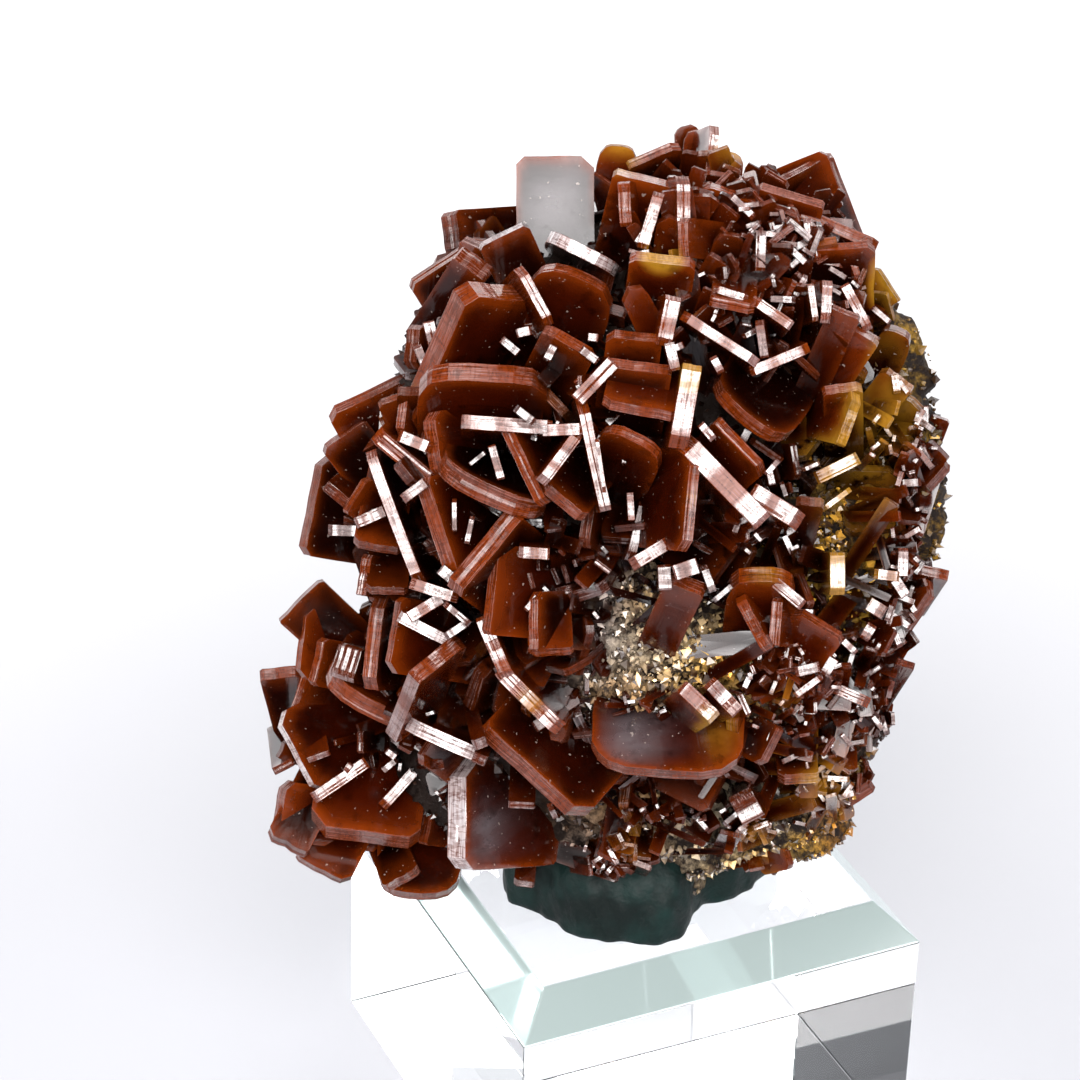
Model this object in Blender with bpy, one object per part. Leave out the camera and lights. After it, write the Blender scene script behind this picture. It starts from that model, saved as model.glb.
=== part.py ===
"""Wulfenite on matrix: tabular crystals grown over a rock, held by putty on a clear bevelled block.

Metres, +Z up. The origin is the centre of the block's underside, and the face of the specimen
that is shown to a viewer looks along -Y and a little upwards.
"""
import math

import bmesh
import bpy
import numpy as np
from mathutils import Matrix, Vector
from mathutils.bvhtree import BVHTree

MM = 0.001
GAP = 0.35 * MM                    # clearance kept between pieces that meet

# Display block
BLOCK_SIDE = 38.1 * MM
BLOCK_HEIGHT = 25.4 * MM
BLOCK_CHAMFER = 3.2 * MM
BLOCK_TURN = math.radians(25.66)   # the block stands turned under the specimen

# Putty pad between the block and the rock
PUTTY_CENTRE = (0.2 * MM, -2.6 * MM)
PUTTY_REACH = (12.5 * MM, 11.5 * MM)
PUTTY_TOP = 35.0 * MM

# Rock: centre and half sizes of the lump that the crystals grow on
ROCK_CENTRE = np.array([-0.9, 1.0, 58.6])
ROCK_HALF = np.array([19.5, 17.0, 25.5])
ROCK_SQUARENESS = 2.5              # 2 is an ellipsoid, more is boxier
ROCK_LEVEL = 3
RIM_HALF = np.array([28.5, 25.0, 33.5])   # the crystals' rims lie near this larger lump

# Viewer: a point in mm to the front, looking down on the specimen
VIEW_ELEVATION = math.radians(30.72)
VIEW_DISTANCE = 339.96
VIEW_AXIS_POINT = np.array([-8.89, 13.71, 48.47])
RIGHT = np.array([1.0, 0.0, 0.0])
UP = np.array([0.0, math.sin(VIEW_ELEVATION), math.cos(VIEW_ELEVATION)])
TOWARD = np.array([0.0, -math.cos(VIEW_ELEVATION), math.sin(VIEW_ELEVATION)])

# Swellings of the rock where it lies bare: right, up as seen, spread, height (mm)
SWELLINGS = [
    (11.0, -9.0, 7.0, 6.2), (13.0, -25.0, 6.5, 7.0), (28.5, 3.0, 6.0, 6.6), (25.0, -20.0, 6.0, 7.4),
    (5.5, -22.5, 4.2, 4.4), (21.5, -20.2, 4.0, 4.8), (31.0, 12.0, 5.0, 5.6), (30.0, 18.0, 4.0, 4.6), (21.0, -9.5, 5.5, 4.4),
    (6.0, 32.0, 4.5, 4.0), (29.0, -12.0, 5.0, 5.4), (-9.0, -21.0, 8.5, 11.0), (-9.0, 10.0, 6.5, 3.0),
    (17.0, 24.0, 5.5, 3.6),
]

# Tabular crystals of the shown face, in mm and degrees as a viewer sees them:
# right and up of the rim's middle, the rim's slope, its length, depth from rim to root, thickness,
# turn (0 shows the rim edge-on, +90 or -90 shows the broad face below or above it),
# pitch (the rim's lean away from the viewer), lift above the common level, rounded outline
CRYSTALS = [
    # upper left
    (0.3, 34.2, 2, 6.4, 9, 0.8, 98, 0, -1, 0), (-4.2, 27.2, 27, 4.4, 7, 1.4, 72, 0, -3, 0),
    (-8.9, 27.3, -80, 3.2, 4, 2.0, -50, 0, -5, 0), (-9.1, 24.8, 35, 7.6, 8, 1.2, 58, 0, -4, 0),
    (-6.6, 24.5, -35, 3.2, 5, 1.8, 40, 0, -1, 0), (-4.3, 22.1, 0, 6.8, 9, 2.2, 50, -35, 0, 0),
    (-1.1, 21.8, -60, 5.2, 7, 0.8, 12, 0, 0.5, 0), (2.8, 23.8, -20, 7.2, 8, 1.1, 48, 0, 0, 1),
    (3.0, 25.8, -25, 6.2, 7, 1.0, -38, 0, 1.5, 1),
    # crown
    (13.0, 37.0, 5, 3.0, 7, 1.0, 78, 0, -3, 1), (11.7, 37.3, 20, 2.9, 7, 0.9, 80, 0, -5.5, 1),
    (14.3, 34.6, -95, 5.2, 6, 0.8, 10, 0, -2, 0), (9.0, 34.7, 25, 4.6, 6, 0.8, -20, 0, -3, 0),
    (8.6, 32.5, -12, 5.6, 6, 1.2, 58, 0, 0, 0), (11.9, 30.2, -88, 4.8, 7, 1.1, 12, 0, 1, 0),
    (16.0, 35.1, -15, 3.0, 6, 1.0, 84, 0, -4, 1), (16.2, 31.5, -18, 5.2, 6, 1.0, 58, 0, 0, 0),
    (16.3, 27.8, -10, 3.0, 5, 0.9, 62, 0, 0, 1), (22.3, 33.9, 30, 5.6, 5, 0.7, 12, 0, -6, 0),
    (25.4, 33.4, -68, 4.6, 6, 0.9, 48, 0, -6, 0), (25.4, 28.7, -22, 7.6, 8, 1.0, -54, 0, 1, 0),
    (21.2, 31.5, -15, 6.2, 6, 1.0, 45, 0, 1, 0), (24.5, 26.9, 5, 8.2, 7, 0.9, 48, 0, 1, 0),
    (30.4, 23.8, -55, 3.4, 6, 1.0, 68, 0, -4, 0), (27.6, 21.6, -60, 4.2, 5, 0.8, 8, 0, 1, 0),
    (24.9, 22.0, -92, 3.4, 5, 0.8, 6, 0, 2, 0), (18.9, 26.4, -90, 3.2, 5, 0.8, 6, 0, 2, 0),
    (20.1, 20.9, -33, 3.8, 6, 0.8, 4, 0, 2.5, 0), (16.5, 21.4, -10, 3.6, 6, 0.9, -32, 0, 2, 0),
    (10.2, 25.4, -5, 5.2, 8, 1.1, 44, 0, 1, 0), (10.9, 19.9, -100, 4.0, 7, 1.2, 6, 0, 2, 0),
    (9.0, 28.8, -105, 4.6, 6, 0.9, 10, 0, 1, 0), (6.6, 30.2, -85, 3.6, 6, 1.0, -30, 0, 0, 0),
    (6.0, 35.4, -5, 3.4, 5, 1.0, 74, 0, -3, 1),
    # left
    (-12.0, 16.9, -95, 3.6, 6, 1.6, -48, 0, -3, 0), (-10.1, 17.6, -75, 3.0, 5, 0.9, 4, 0, -1, 0),
    (-15.3, 12.8, 27, 8.4, 9, 1.1, 48, 0, -4, 0), (-17.9, 9.0, 38, 4.4, 9, 1.1, 64, 0, -2, 0),
    (-20.5, 2.8, 81, 9.0, 10, 1.4, 58, 0, -4, 0), (-13.1, 1.6, -67.7, 11.4, 10, 0.9, -7, 0, 1.5, 0),
    (-15.0, 1.7, 25, 3.0, 6, 0.9, -8, 0, 0.5, 0), (-12.4, 6.9, -38, 6.0, 7, 1.3, -15, 0, 1, 0),
    (-12.7, 10.9, -95, 3.6, 6, 0.8, -28, 0, 0, 0), (-14.5, -1.2, -8, 4.0, 6, 1.0, -52, 0, 0.5, 0),
    (-15.6, -3.6, 83, 3.4, 6, 0.9, 4, 0, 0.5, 0), (-13.5, -5.0, 0, 3.4, 6, 0.8, -58, 0, 0, 0),
    (-21.3, -5.9, 48, 5.2, 8, 1.3, 58, 0, -3, 0), (-21.1, -9.9, 86, 6.2, 8, 1.0, 42, 0, -2, 0),
    (-22.8, -12.5, 8, 3.6, 7, 1.1, 42, 0, -4, 0), (-19.6, -11.4, 79, 4.2, 8, 1.0, 46, 0, 0, 0),
    (-17.0, -11.4, 75, 3.0, 7, 2.2, 4, 0, 0.5, 0), (-14.6, -9.5, -95, 8.0, 8, 1.2, 38, 0, 0, 0),
    (-12.9, -8.8, 82, 6.2, 8, 0.9, 56, 0, 1.5, 0), (-9.3, -4.8, -16, 4.0, 7, 0.9, 0, 0, 2.5, 0),
    (-10.0, -6.3, 33, 3.2, 6, 0.9, 0, 0, 2.5, 0), (-9.8, -8.4, -25, 5.2, 7, 0.9, 38, 0, 1, 0),
    # middle
    (-5.3, 14.8, -1, 10.8, 8, 1.7, 42, 0, 1, 1), (-3.3, 10.2, -2, 7.2, 8, 1.1, 6, 0, 2.5, 0),
    (1.9, 9.9, 4, 3.4, 6, 0.9, 0, 0, 3, 0), (1.7, 7.5, 55, 5.2, 7, 0.9, -8, 0, 3, 0),
    (-1.7, 6.6, -63, 7.0, 8, 1.0, -24, 0, 1.5, 0), (-4.8, 3.9, -23, 9.4, 9, 1.7, -20, 0, 1.5, 1),
    (-9.9, 8.2, -80, 5.2, 7, 1.4, -44, 0, 0.5, 0), (2.2, 17.8, -28, 4.6, 7, 1.0, 38, 0, 0.5, 0),
    (4.5, 14.3, 48, 4.2, 7, 1.1, -5, 0, 2.5, 0), (8.8, 11.7, -9, 6.4, 9, 0.9, -42, 0, 2.5, 0),
    (8.1, 15.8, -5, 5.6, 8, 1.0, 38, 0, 1.5, 0), (7.9, 18.5, -5, 4.4, 6, 1.1, 56, 0, 0.5, 0),
    (12.6, 12.3, -98, 6.6, 9, 1.5, 3, 0, 3.5, 0), (13.4, 3.9, -94, 8.0, 8, 0.9, 24, 0, 3.5, 0),
    (16.2, 5.7, -44, 8.8, 10, 1.6, 5, 0, 3.5, 0), (17.7, 9.0, -44, 5.6, 8, 0.9, 28, 0, 2, 0),
    (17.8, 11.4, -38, 7.6, 11, 1.1, -72, 0, 0.5, 1), (27.3, 11.5, 72, 4.4, 7, 0.9, -24, 0, 1.5, 0),
    (26.5, 14.4, 10, 3.2, 5, 0.9, 38, 0, 0.5, 0), (20.9, 16.7, 24, 5.0, 7, 0.8, -5, 0, 2, 0),
    (15.5, 18.4, -31, 7.0, 7, 0.8, 3, 0, 2, 0), (4.5, 7.8, -76, 9.0, 8, 0.9, 3, 0, 2.5, 0),
    (8.3, 9.4, -25, 5.6, 7, 0.9, 34, 0, 2, 1), (1.9, 3.4, -38, 4.2, 7, 1.0, -34, 0, 1.5, 0),
    (-9.3, 0.8, -70, 8.0, 8, 1.4, -38, 0, 1.5, 0), (-5.0, -1.1, 52, 8.0, 9, 1.6, 24, 0, 2, 0),
    (-4.3, -4.5, 85, 7.2, 9, 1.1, 52, 0, 1.5, 0), (1.3, -10.0, 5, 3.6, 8, 1.0, -52, 0, 1, 0),
    (-0.4, -7.3, -88, 4.8, 7, 0.9, -38, 0, 1, 0), (-3.8, -9.7, -65, 5.4, 8, 1.1, -10, 0, 2, 0),
    (-0.5, -14.3, -43, 6.8, 9, 1.3, 5, 0, 3, 0), (-8.7, -10.7, 41, 5.4, 9, 1.3, 14, -25, 3, 0),
    # right
    (28.3, 19.3, -30, 2.9, 5, 1.0, 58, 0, 1, 0), (31.4, 19.7, -20, 3.0, 5, 1.2, 58, 0, -3, 1),
    (31.5, 15.4, -35, 3.0, 5, 1.1, 58, 0, -1, 0), (33.4, 13.0, -45, 3.4, 5, 1.3, 62, 0, -3, 1),
    (35.2, 6.4, 50, 3.4, 6, 1.1, -48, 0, -4, 0), (26.3, 7.2, 28, 3.8, 6, 1.0, 0, 0, 2, 0),
    (21.0, 3.6, -30, 4.6, 7, 1.5, 5, 0, 2.5, 0), (26.6, -2.2, -88, 3.4, 7, 1.2, 2, 0, 3, 0),
    (22.3, -4.1, -38, 3.0, 6, 0.9, 2, 0, 3, 0), (34.6, -1.7, -10, 3.6, 6, 0.9, 20, 0, -4, 0),
    (33.7, -5.9, 58, 6.4, 8, 1.2, -46, 0, -3, 0), (25.2, -6.6, -30, 4.6, 7, 0.9, 46, 0, 1.5, 0),
    (28.2, -13.0, -22, 3.2, 5, 0.9, 3, 0, 1.5, 0), (20.0, -2.4, 0, 5.6, 8, 1.4, 46, 0, 1.5, 1),
    (19.2, -6.9, -60, 4.8, 7, 0.9, -18, 0, 2, 0), (21.2, -6.6, -93, 4.0, 6, 0.9, -18, 0, 2, 0),
    (9.9, -0.9, 33, 3.6, 6, 1.0, 2, 0, 2, 0), (13.2, -3.4, -20, 3.2, 6, 1.2, 46, 0, 2.5, 0),
    # lower middle and lower right
    (14.6, -14.0, -42, 3.8, 8, 1.2, 14, 0, 2.5, 0), (16.8, -13.5, -45, 3.4, 7, 1.2, 10, 0, 2, 0),
    (11.8, -20.6, -2, 12.4, 10, 1.3, -56, 0, 3, 1), (21.2, -17.8, 65, 3.6, 6, 1.0, -46, 0, 1, 0),
    (22.6, -26.4, -70, 4.4, 5, 0.9, 52, 0, 0, 0), (28.4, -22.3, 35, 4.8, 7, 1.4, -34, 0, -1, 0),
    (23.7, -20.6, 5, 3.4, 6, 1.0, -30, 0, 1, 0),
    (-0.2, -21.0, -41, 11.2, 10, 1.7, -48, 0, 3, 0), (-6.7, -24.7, 91, 9.4, 11, 2.3, 46, 0, 2, 0),
    (-7.8, -18.2, -22, 7.0, 9, 1.2, 28, 0, 2, 0), (-9.2, -24.6, 80, 5.6, 8, 1.0, 38, 0, 0, 0),
    # lower left
    (-21.2, -19.9, -60, 7.8, 10, 1.0, -10, 0, 0, 0), (-22.6, -24.7, 82, 5.2, 10, 1.8, 33, 0, -2, 0),
    (-21.8, -28.0, -24, 4.0, 9, 1.8, -28, 0, -1, 0), (-14.9, -27.0, -6, 9.6, 11, 2.4, -20, 0, 1, 0),
    (-18.6, -30.2, -25, 5.2, 9, 1.4, -24, 0, -2, 0), (-11.3, -30.7, 30, 3.4, 7, 0.9, 0, 0, 0, 0),
    (-10.0, -32.1, -2, 7.6, 10, 1.5, -32, 0, -2, 1), (-11.9, -22.5, 50, 4.4, 8, 0.9, 0, 0, 2, 0),
    (-17.2, -22.0, 36, 5.6, 8, 1.0, 8, 0, 2, 0), (-14.4, -15.6, -25, 10.2, 11, 1.6, 52, 0, 0, 1),
    (-21.2, -14.5, 75, 3.6, 7, 1.2, 38, 0, -2, 0),
]

# Outline of the whole specimen as a viewer sees it (right, up in mm)
OUTLINE = [
    (12.5, 37.5), (17, 35), (24.5, 35.3), (26.5, 32.5), (28.8, 28), (31, 22.5), (32.8, 19), (31.5, 16),
    (34.3, 13), (36.4, 7.5), (34.5, 3), (34, 0), (36.6, -2), (35.4, -4), (33.6, -9.5), (32.3, -12),
    (32, -16), (30.2, -18), (30.6, -21), (27.5, -24.5), (24.5, -27), (21.5, -30.5), (18, -29),
    (13, -29.5), (8.8, -32.6), (3, -31), (-1, -32), (-7, -33), (-13, -32), (-17, -31.5), (-21.5, -29.5),
    (-23.8, -27), (-23, -21), (-23.5, -16.5), (-24.4, -12.7), (-21.5, -11), (-23, -7.8), (-19.7, -4),
    (-16.6, -7.6), (-15.3, -3), (-17, -2.3), (-21.3, -1.8), (-20, 7.3), (-19, 10.9), (-11.5, 14.6),
    (-12.3, 18.6), (-11, 24), (-9.4, 28.9), (-2.8, 30), (-2.8, 34.2), (3.3, 34.6), (7, 35.8), (9.5, 35),
]

# Crystals of the sides and the back: how many places are tried and the sizes (mm)
BACK_PLACES = 190
BACK_LENGTH = (5.5, 10.5)
BACK_THICKNESS = (1.1, 2.3)
BACK_RISE = (3.6, 6.4)
SMALL_LENGTH = 5.0                 # shorter tablets have plain corners
SMALLEST_PIECE = 6.0               # cubic mm; smaller stray pieces are left out


def clear_scene():
    for item in list(bpy.data.objects):
        bpy.data.objects.remove(item, do_unlink=True)


def material(name, colour, roughness, metallic=0.0, transmission=0.0, ior=1.5):
    mat = bpy.data.materials.new(name)
    mat.use_nodes = True
    shader = mat.node_tree.nodes["Principled BSDF"]
    shader.inputs["Base Color"].default_value = (*colour, 1.0)
    shader.inputs["Roughness"].default_value = roughness
    shader.inputs["Metallic"].default_value = metallic
    shader.inputs["Transmission Weight"].default_value = transmission
    shader.inputs["IOR"].default_value = ior
    return mat


def add_object(name, bm, mat):
    mesh = bpy.data.meshes.new(name)
    bmesh.ops.recalc_face_normals(bm, faces=bm.faces)
    bm.to_mesh(mesh)
    bm.free()
    mesh.materials.append(mat)
    item = bpy.data.objects.new(name, mesh)
    bpy.context.scene.collection.objects.link(item)
    return item


def smooth_noise(p, scale, phase):
    """Smooth repeatable unevenness in -1..1 for points in mm."""
    x, y, z = (p / scale).T
    return (np.sin(1.7 * x + 2.3 * np.sin(1.1 * y + phase)) * np.cos(1.3 * z + 0.7 * phase)
            + np.sin(2.1 * y + 1.9 * np.sin(1.3 * z + 2 * phase)) * np.cos(1.9 * x - phase)) / 2


def depth_on(half, right, up):
    """How far toward the viewer the lump with these half sizes lies at an apparent place."""
    start = VIEW_AXIS_POINT + right * RIGHT + up * UP
    step = TOWARD - (right * RIGHT + up * UP) / VIEW_DISTANCE
    a = np.dot(step / half, step / half)
    b = np.dot((start - ROCK_CENTRE) / half, step / half)
    c = np.dot((start - ROCK_CENTRE) / half, (start - ROCK_CENTRE) / half) - 1.0
    return (-b + math.sqrt(max(0.0, b * b - a * c))) / a


def place(right, up, toward):
    shrink = 1.0 - toward / VIEW_DISTANCE
    return VIEW_AXIS_POINT + right * shrink * RIGHT + up * shrink * UP + toward * TOWARD


def apparent(point):
    """Where a viewer sees a point: right and up in mm."""
    offset = point - VIEW_AXIS_POINT
    shrink = 1.0 - np.dot(offset, TOWARD) / VIEW_DISTANCE
    return np.dot(offset, RIGHT) / shrink, np.dot(offset, UP) / shrink


def within_outline(point):
    """Whether a viewer sees the point inside the specimen's outline."""
    x, y = apparent(point)
    crossings = 0
    for (x0, y0), (x1, y1) in zip(OUTLINE, OUTLINE[1:] + OUTLINE[:1]):
        if (y0 > y) != (y1 > y) and x < x0 + (y - y0) * (x1 - x0) / (y1 - y0):
            crossings += 1
    return crossings % 2 == 1


def rock_radius(directions):
    """Distance of the rock's surface from its centre along unit directions, in mm."""
    power = ROCK_SQUARENESS
    radius = (np.abs(directions / ROCK_HALF) ** power).sum(axis=1) ** (-1.0 / power)
    surface = directions * radius[:, None]
    for right, up, spread, height in SWELLINGS:
        peak = place(right, up, depth_on(ROCK_HALF, right, up)) - ROCK_CENTRE
        distance = np.linalg.norm(surface - peak, axis=1)
        radius = radius + height * np.exp(-(distance / spread) ** 2)
    return radius + 1.7 * smooth_noise(surface, 8.0, 0.6) + 1.0 * smooth_noise(surface, 4.1, 2.1)


def rock_mesh(extra=0.0):
    bm = bmesh.new()
    bmesh.ops.create_icosphere(bm, subdivisions=ROCK_LEVEL, radius=1.0)
    unit = np.array([v.co.normalized() for v in bm.verts])
    radius = rock_radius(unit)
    # flat ledges: the radius settles on steps a little apart
    step = 2.4
    ledge = np.round(radius / step) * step
    radius = 0.55 * radius + 0.45 * ledge + extra
    for vert, direction, r in zip(bm.verts, unit, radius):
        vert.co = Vector((ROCK_CENTRE + direction * r) * MM)
    return bm


def crystal_mesh(centre, along, out, length, reach, thickness, rounded, grow=0.0):
    """A flat tablet: its rim's middle at centre, running along, its broad faces reaching back from out."""
    along = along / np.linalg.norm(along)
    out = out - np.dot(out, along) * along
    out = out / np.linalg.norm(out)
    normal = np.cross(along, out)
    half = length / 2 + grow
    if rounded:
        outline = [(-half * 0.93, -reach - grow), (-half, -0.42 * length), (-half * 0.88, -0.17 * length),
                   (-half * 0.52, -0.03 * length + grow), (0.0, grow), (half * 0.52, -0.03 * length + grow),
                   (half * 0.88, -0.17 * length), (half, -0.42 * length), (half * 0.93, -reach - grow)]
    elif length < SMALL_LENGTH:
        outline = [(-half, -reach - grow), (-half, grow), (half, grow), (half, -reach - grow)]
    else:
        cut = min(0.12 * length, 0.9)
        outline = [(-half, -reach - grow), (-half, -cut), (-half + cut, grow), (half - cut, grow),
                   (half, -cut), (half, -reach - grow)]
    bm = bmesh.new()
    layer = [bm.verts.new(Vector((centre + a * along + b * out - (thickness / 2 + grow) * normal) * MM))
             for a, b in outline]
    face = bm.faces.new(layer)
    swept = bmesh.ops.extrude_face_region(bm, geom=[face])
    moved = [v for v in swept["geom"] if isinstance(v, bmesh.types.BMVert)]
    bmesh.ops.translate(bm, verts=moved, vec=Vector(normal * (thickness + 2 * grow) * MM))
    bmesh.ops.recalc_face_normals(bm, faces=bm.faces)
    return bm


def depth_to_rock(centre, out):
    """How far back from the rim the crystal must reach to be rooted in the rock."""
    back = np.arange(0.0, 20.0, 0.25)
    points = centre - back[:, None] * out / np.linalg.norm(out) - ROCK_CENTRE
    distance = np.linalg.norm(points, axis=1)
    inside = distance < rock_radius(points / distance[:, None])
    return float(back[inside.argmax()]) if inside.any() else 12.0


def shown_crystals():
    for right, up, slope, length, reach, thick, turn, pitch, lift, rounded in CRYSTALS:
        centre = place(right, up, depth_on(RIM_HALF, right, up) + lift)
        a, p, t = math.radians(slope), math.radians(pitch), math.radians(turn)
        along = math.cos(p) * (math.cos(a) * RIGHT + math.sin(a) * UP) + math.sin(p) * TOWARD
        side = -math.sin(a) * RIGHT + math.cos(a) * UP
        facing = TOWARD - np.dot(TOWARD, along) * along
        straight = math.cos(t) * facing / np.linalg.norm(facing) + math.sin(t) * side
        # a tablet whose root would miss the rock leans until it meets it
        radial = (centre - ROCK_CENTRE) / np.linalg.norm(centre - ROCK_CENTRE)
        for lean in (0.0, 0.2, 0.4, 0.6, 0.9, 1.3):
            out = straight + lean * (radial - np.dot(radial, along) * along)
            out = out / np.linalg.norm(out)
            depth = depth_to_rock(centre, out)
            if depth < 11.0:
                break
        yield (centre, along, out, length, max(min(reach, depth + 3.0), depth + 1.6), thick, bool(rounded))


def back_crystals():
    rng = np.random.default_rng(11)
    golden = math.pi * (3.0 - math.sqrt(5.0))
    for i in range(BACK_PLACES):
        height = 1.0 - 2.0 * (i + 0.5) / BACK_PLACES
        ring = math.sqrt(1.0 - height * height)
        d = np.array([math.cos(i * golden) * ring, math.sin(i * golden) * ring, height])
        d = d + rng.normal(0.0, 0.07, 3)
        d = d / np.linalg.norm(d)
        lean, roll = rng.normal(0.0, 0.35, 3), rng.normal(0.0, 1.0, 3)
        length = rng.uniform(*BACK_LENGTH)
        thick = rng.uniform(*BACK_THICKNESS)
        rise = rng.uniform(*BACK_RISE)
        keep = rng.uniform()
        scaled = d / ROCK_HALF
        facing = np.dot(scaled / np.linalg.norm(scaled), TOWARD)
        if facing > 0.02 or d[2] < -0.6 or keep < 0.1:
            continue
        radius = rock_radius(d[None, :])[0]
        normal = scaled / np.linalg.norm(scaled)
        out = normal + lean
        out = out / np.linalg.norm(out)
        along = np.cross(out, roll)
        along = along / np.linalg.norm(along)
        rounded = rng.uniform() < 0.25
        for part in (1.0, 0.75, 0.5):
            centre = ROCK_CENTRE + d * radius + out * rise * part
            ends = [centre + side * length * part / 2 * along for side in (-1, 1)]
            if all(within_outline(end) for end in ends):
                yield (centre, along, out, length * part, rise * part + 3.0, thick, rounded)
                break


def boolean(item, other, operation):
    """Combine an object with another one, or with all the objects of a collection."""
    mod = item.modifiers.new("combine", "BOOLEAN")
    mod.operation = operation
    mod.solver = "EXACT"
    if isinstance(other, bpy.types.Collection):
        mod.operand_type = "COLLECTION"
        mod.collection = other
    else:
        mod.object = other
    graph = bpy.context.evaluated_depsgraph_get()
    mesh = bpy.data.meshes.new_from_object(item.evaluated_get(graph))
    item.modifiers.remove(mod)
    old = item.data
    item.data = mesh
    bpy.data.meshes.remove(old)


def tidy(item, smallest=0.0):
    """Keep the largest closed piece of an object and give its volume."""
    bm = bmesh.new()
    bm.from_mesh(item.data)
    bmesh.ops.triangulate(bm, faces=[f for f in bm.faces if len(f.verts) > 3])
    remaining, best, best_volume = set(bm.verts), None, 0.0
    while remaining:
        stack, island = [remaining.pop()], set()
        while stack:
            vert = stack.pop()
            island.add(vert)
            for edge in vert.link_edges:
                other = edge.other_vert(vert)
                if other in remaining:
                    remaining.discard(other)
                    stack.append(other)
        volume = 0.0
        for face in {f for v in island for f in v.link_faces}:
            c = [v.co / MM for v in face.verts]
            for k in range(1, len(c) - 1):
                volume += c[0].dot(c[k].cross(c[k + 1])) / 6.0
        if volume > best_volume:
            best, best_volume = island, volume
    if best is None or best_volume < smallest:
        bm.free()
        return 0.0
    bmesh.ops.delete(bm, geom=[v for v in bm.verts if v not in best], context="VERTS")
    bm.to_mesh(item.data)
    bm.free()
    return best_volume


def touching_groups(trees):
    """Numbers of the crystals that meet, gathered group by group."""
    group = list(range(len(trees)))

    def root(i):
        while group[i] != i:
            i = group[i]
        return i

    for i in range(len(trees)):
        for j in range(i + 1, len(trees)):
            if root(i) != root(j) and trees[i].overlap(trees[j]):
                group[root(j)] = root(i)
    found = {}
    for i in range(len(trees)):
        found.setdefault(root(i), []).append(i)
    return sorted(found.values(), key=len, reverse=True)


def build_block(name, mat, grow=0.0):
    """The square block with a chamfer round its top, turned about its upright axis."""
    bm = bmesh.new()
    bmesh.ops.create_cube(bm, size=1.0)
    bmesh.ops.scale(bm, vec=(BLOCK_SIDE + 2 * grow, BLOCK_SIDE + 2 * grow, BLOCK_HEIGHT + grow), verts=bm.verts)
    bmesh.ops.translate(bm, vec=(0.0, 0.0, (BLOCK_HEIGHT + grow) / 2), verts=bm.verts)
    top = [e for e in bm.edges if all(v.co.z > BLOCK_HEIGHT - MM for v in e.verts)]
    bmesh.ops.bevel(bm, geom=top, offset=BLOCK_CHAMFER, segments=1, affect="EDGES", profile=0.5)
    bmesh.ops.rotate(bm, cent=(0.0, 0.0, 0.0), matrix=Matrix.Rotation(BLOCK_TURN, 3, "Z"), verts=bm.verts)
    return add_object(name, bm, mat)


def build_putty(mat, cutters):
    bm = bmesh.new()
    bmesh.ops.create_icosphere(bm, subdivisions=3, radius=1.0)
    floor = BLOCK_HEIGHT + GAP
    height = PUTTY_TOP - floor
    for vert in bm.verts:
        d = np.array(vert.co.normalized())
        angle = math.atan2(d[1], d[0])
        lobes = 1.0 + 0.10 * math.sin(3 * angle + 0.7) + 0.07 * math.sin(5 * angle + 2.0) + 0.04 * math.sin(9 * angle)
        flat = math.copysign(abs(d[2]) ** 0.75, d[2])
        x = PUTTY_CENTRE[0] + d[0] * PUTTY_REACH[0] * lobes
        y = PUTTY_CENTRE[1] + d[1] * PUTTY_REACH[1] * lobes
        z = floor + max(0.0, 0.18 + 0.82 * flat) * height
        vert.co = Vector((x, y, z))
    bmesh.ops.remove_doubles(bm, verts=bm.verts, dist=0.00002)
    base = [v for v in bm.verts if v.co.z < floor + 0.01 * MM]
    for vert in base:
        vert.co.z = floor
    bmesh.ops.dissolve_limit(bm, angle_limit=0.01, verts=bm.verts, edges=bm.edges)
    bmesh.ops.triangulate(bm, faces=bm.faces)
    item = add_object("putty", bm, mat)
    for cutter in cutters:
        boolean(item, cutter, "DIFFERENCE")
    tidy(item)
    return item


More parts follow.
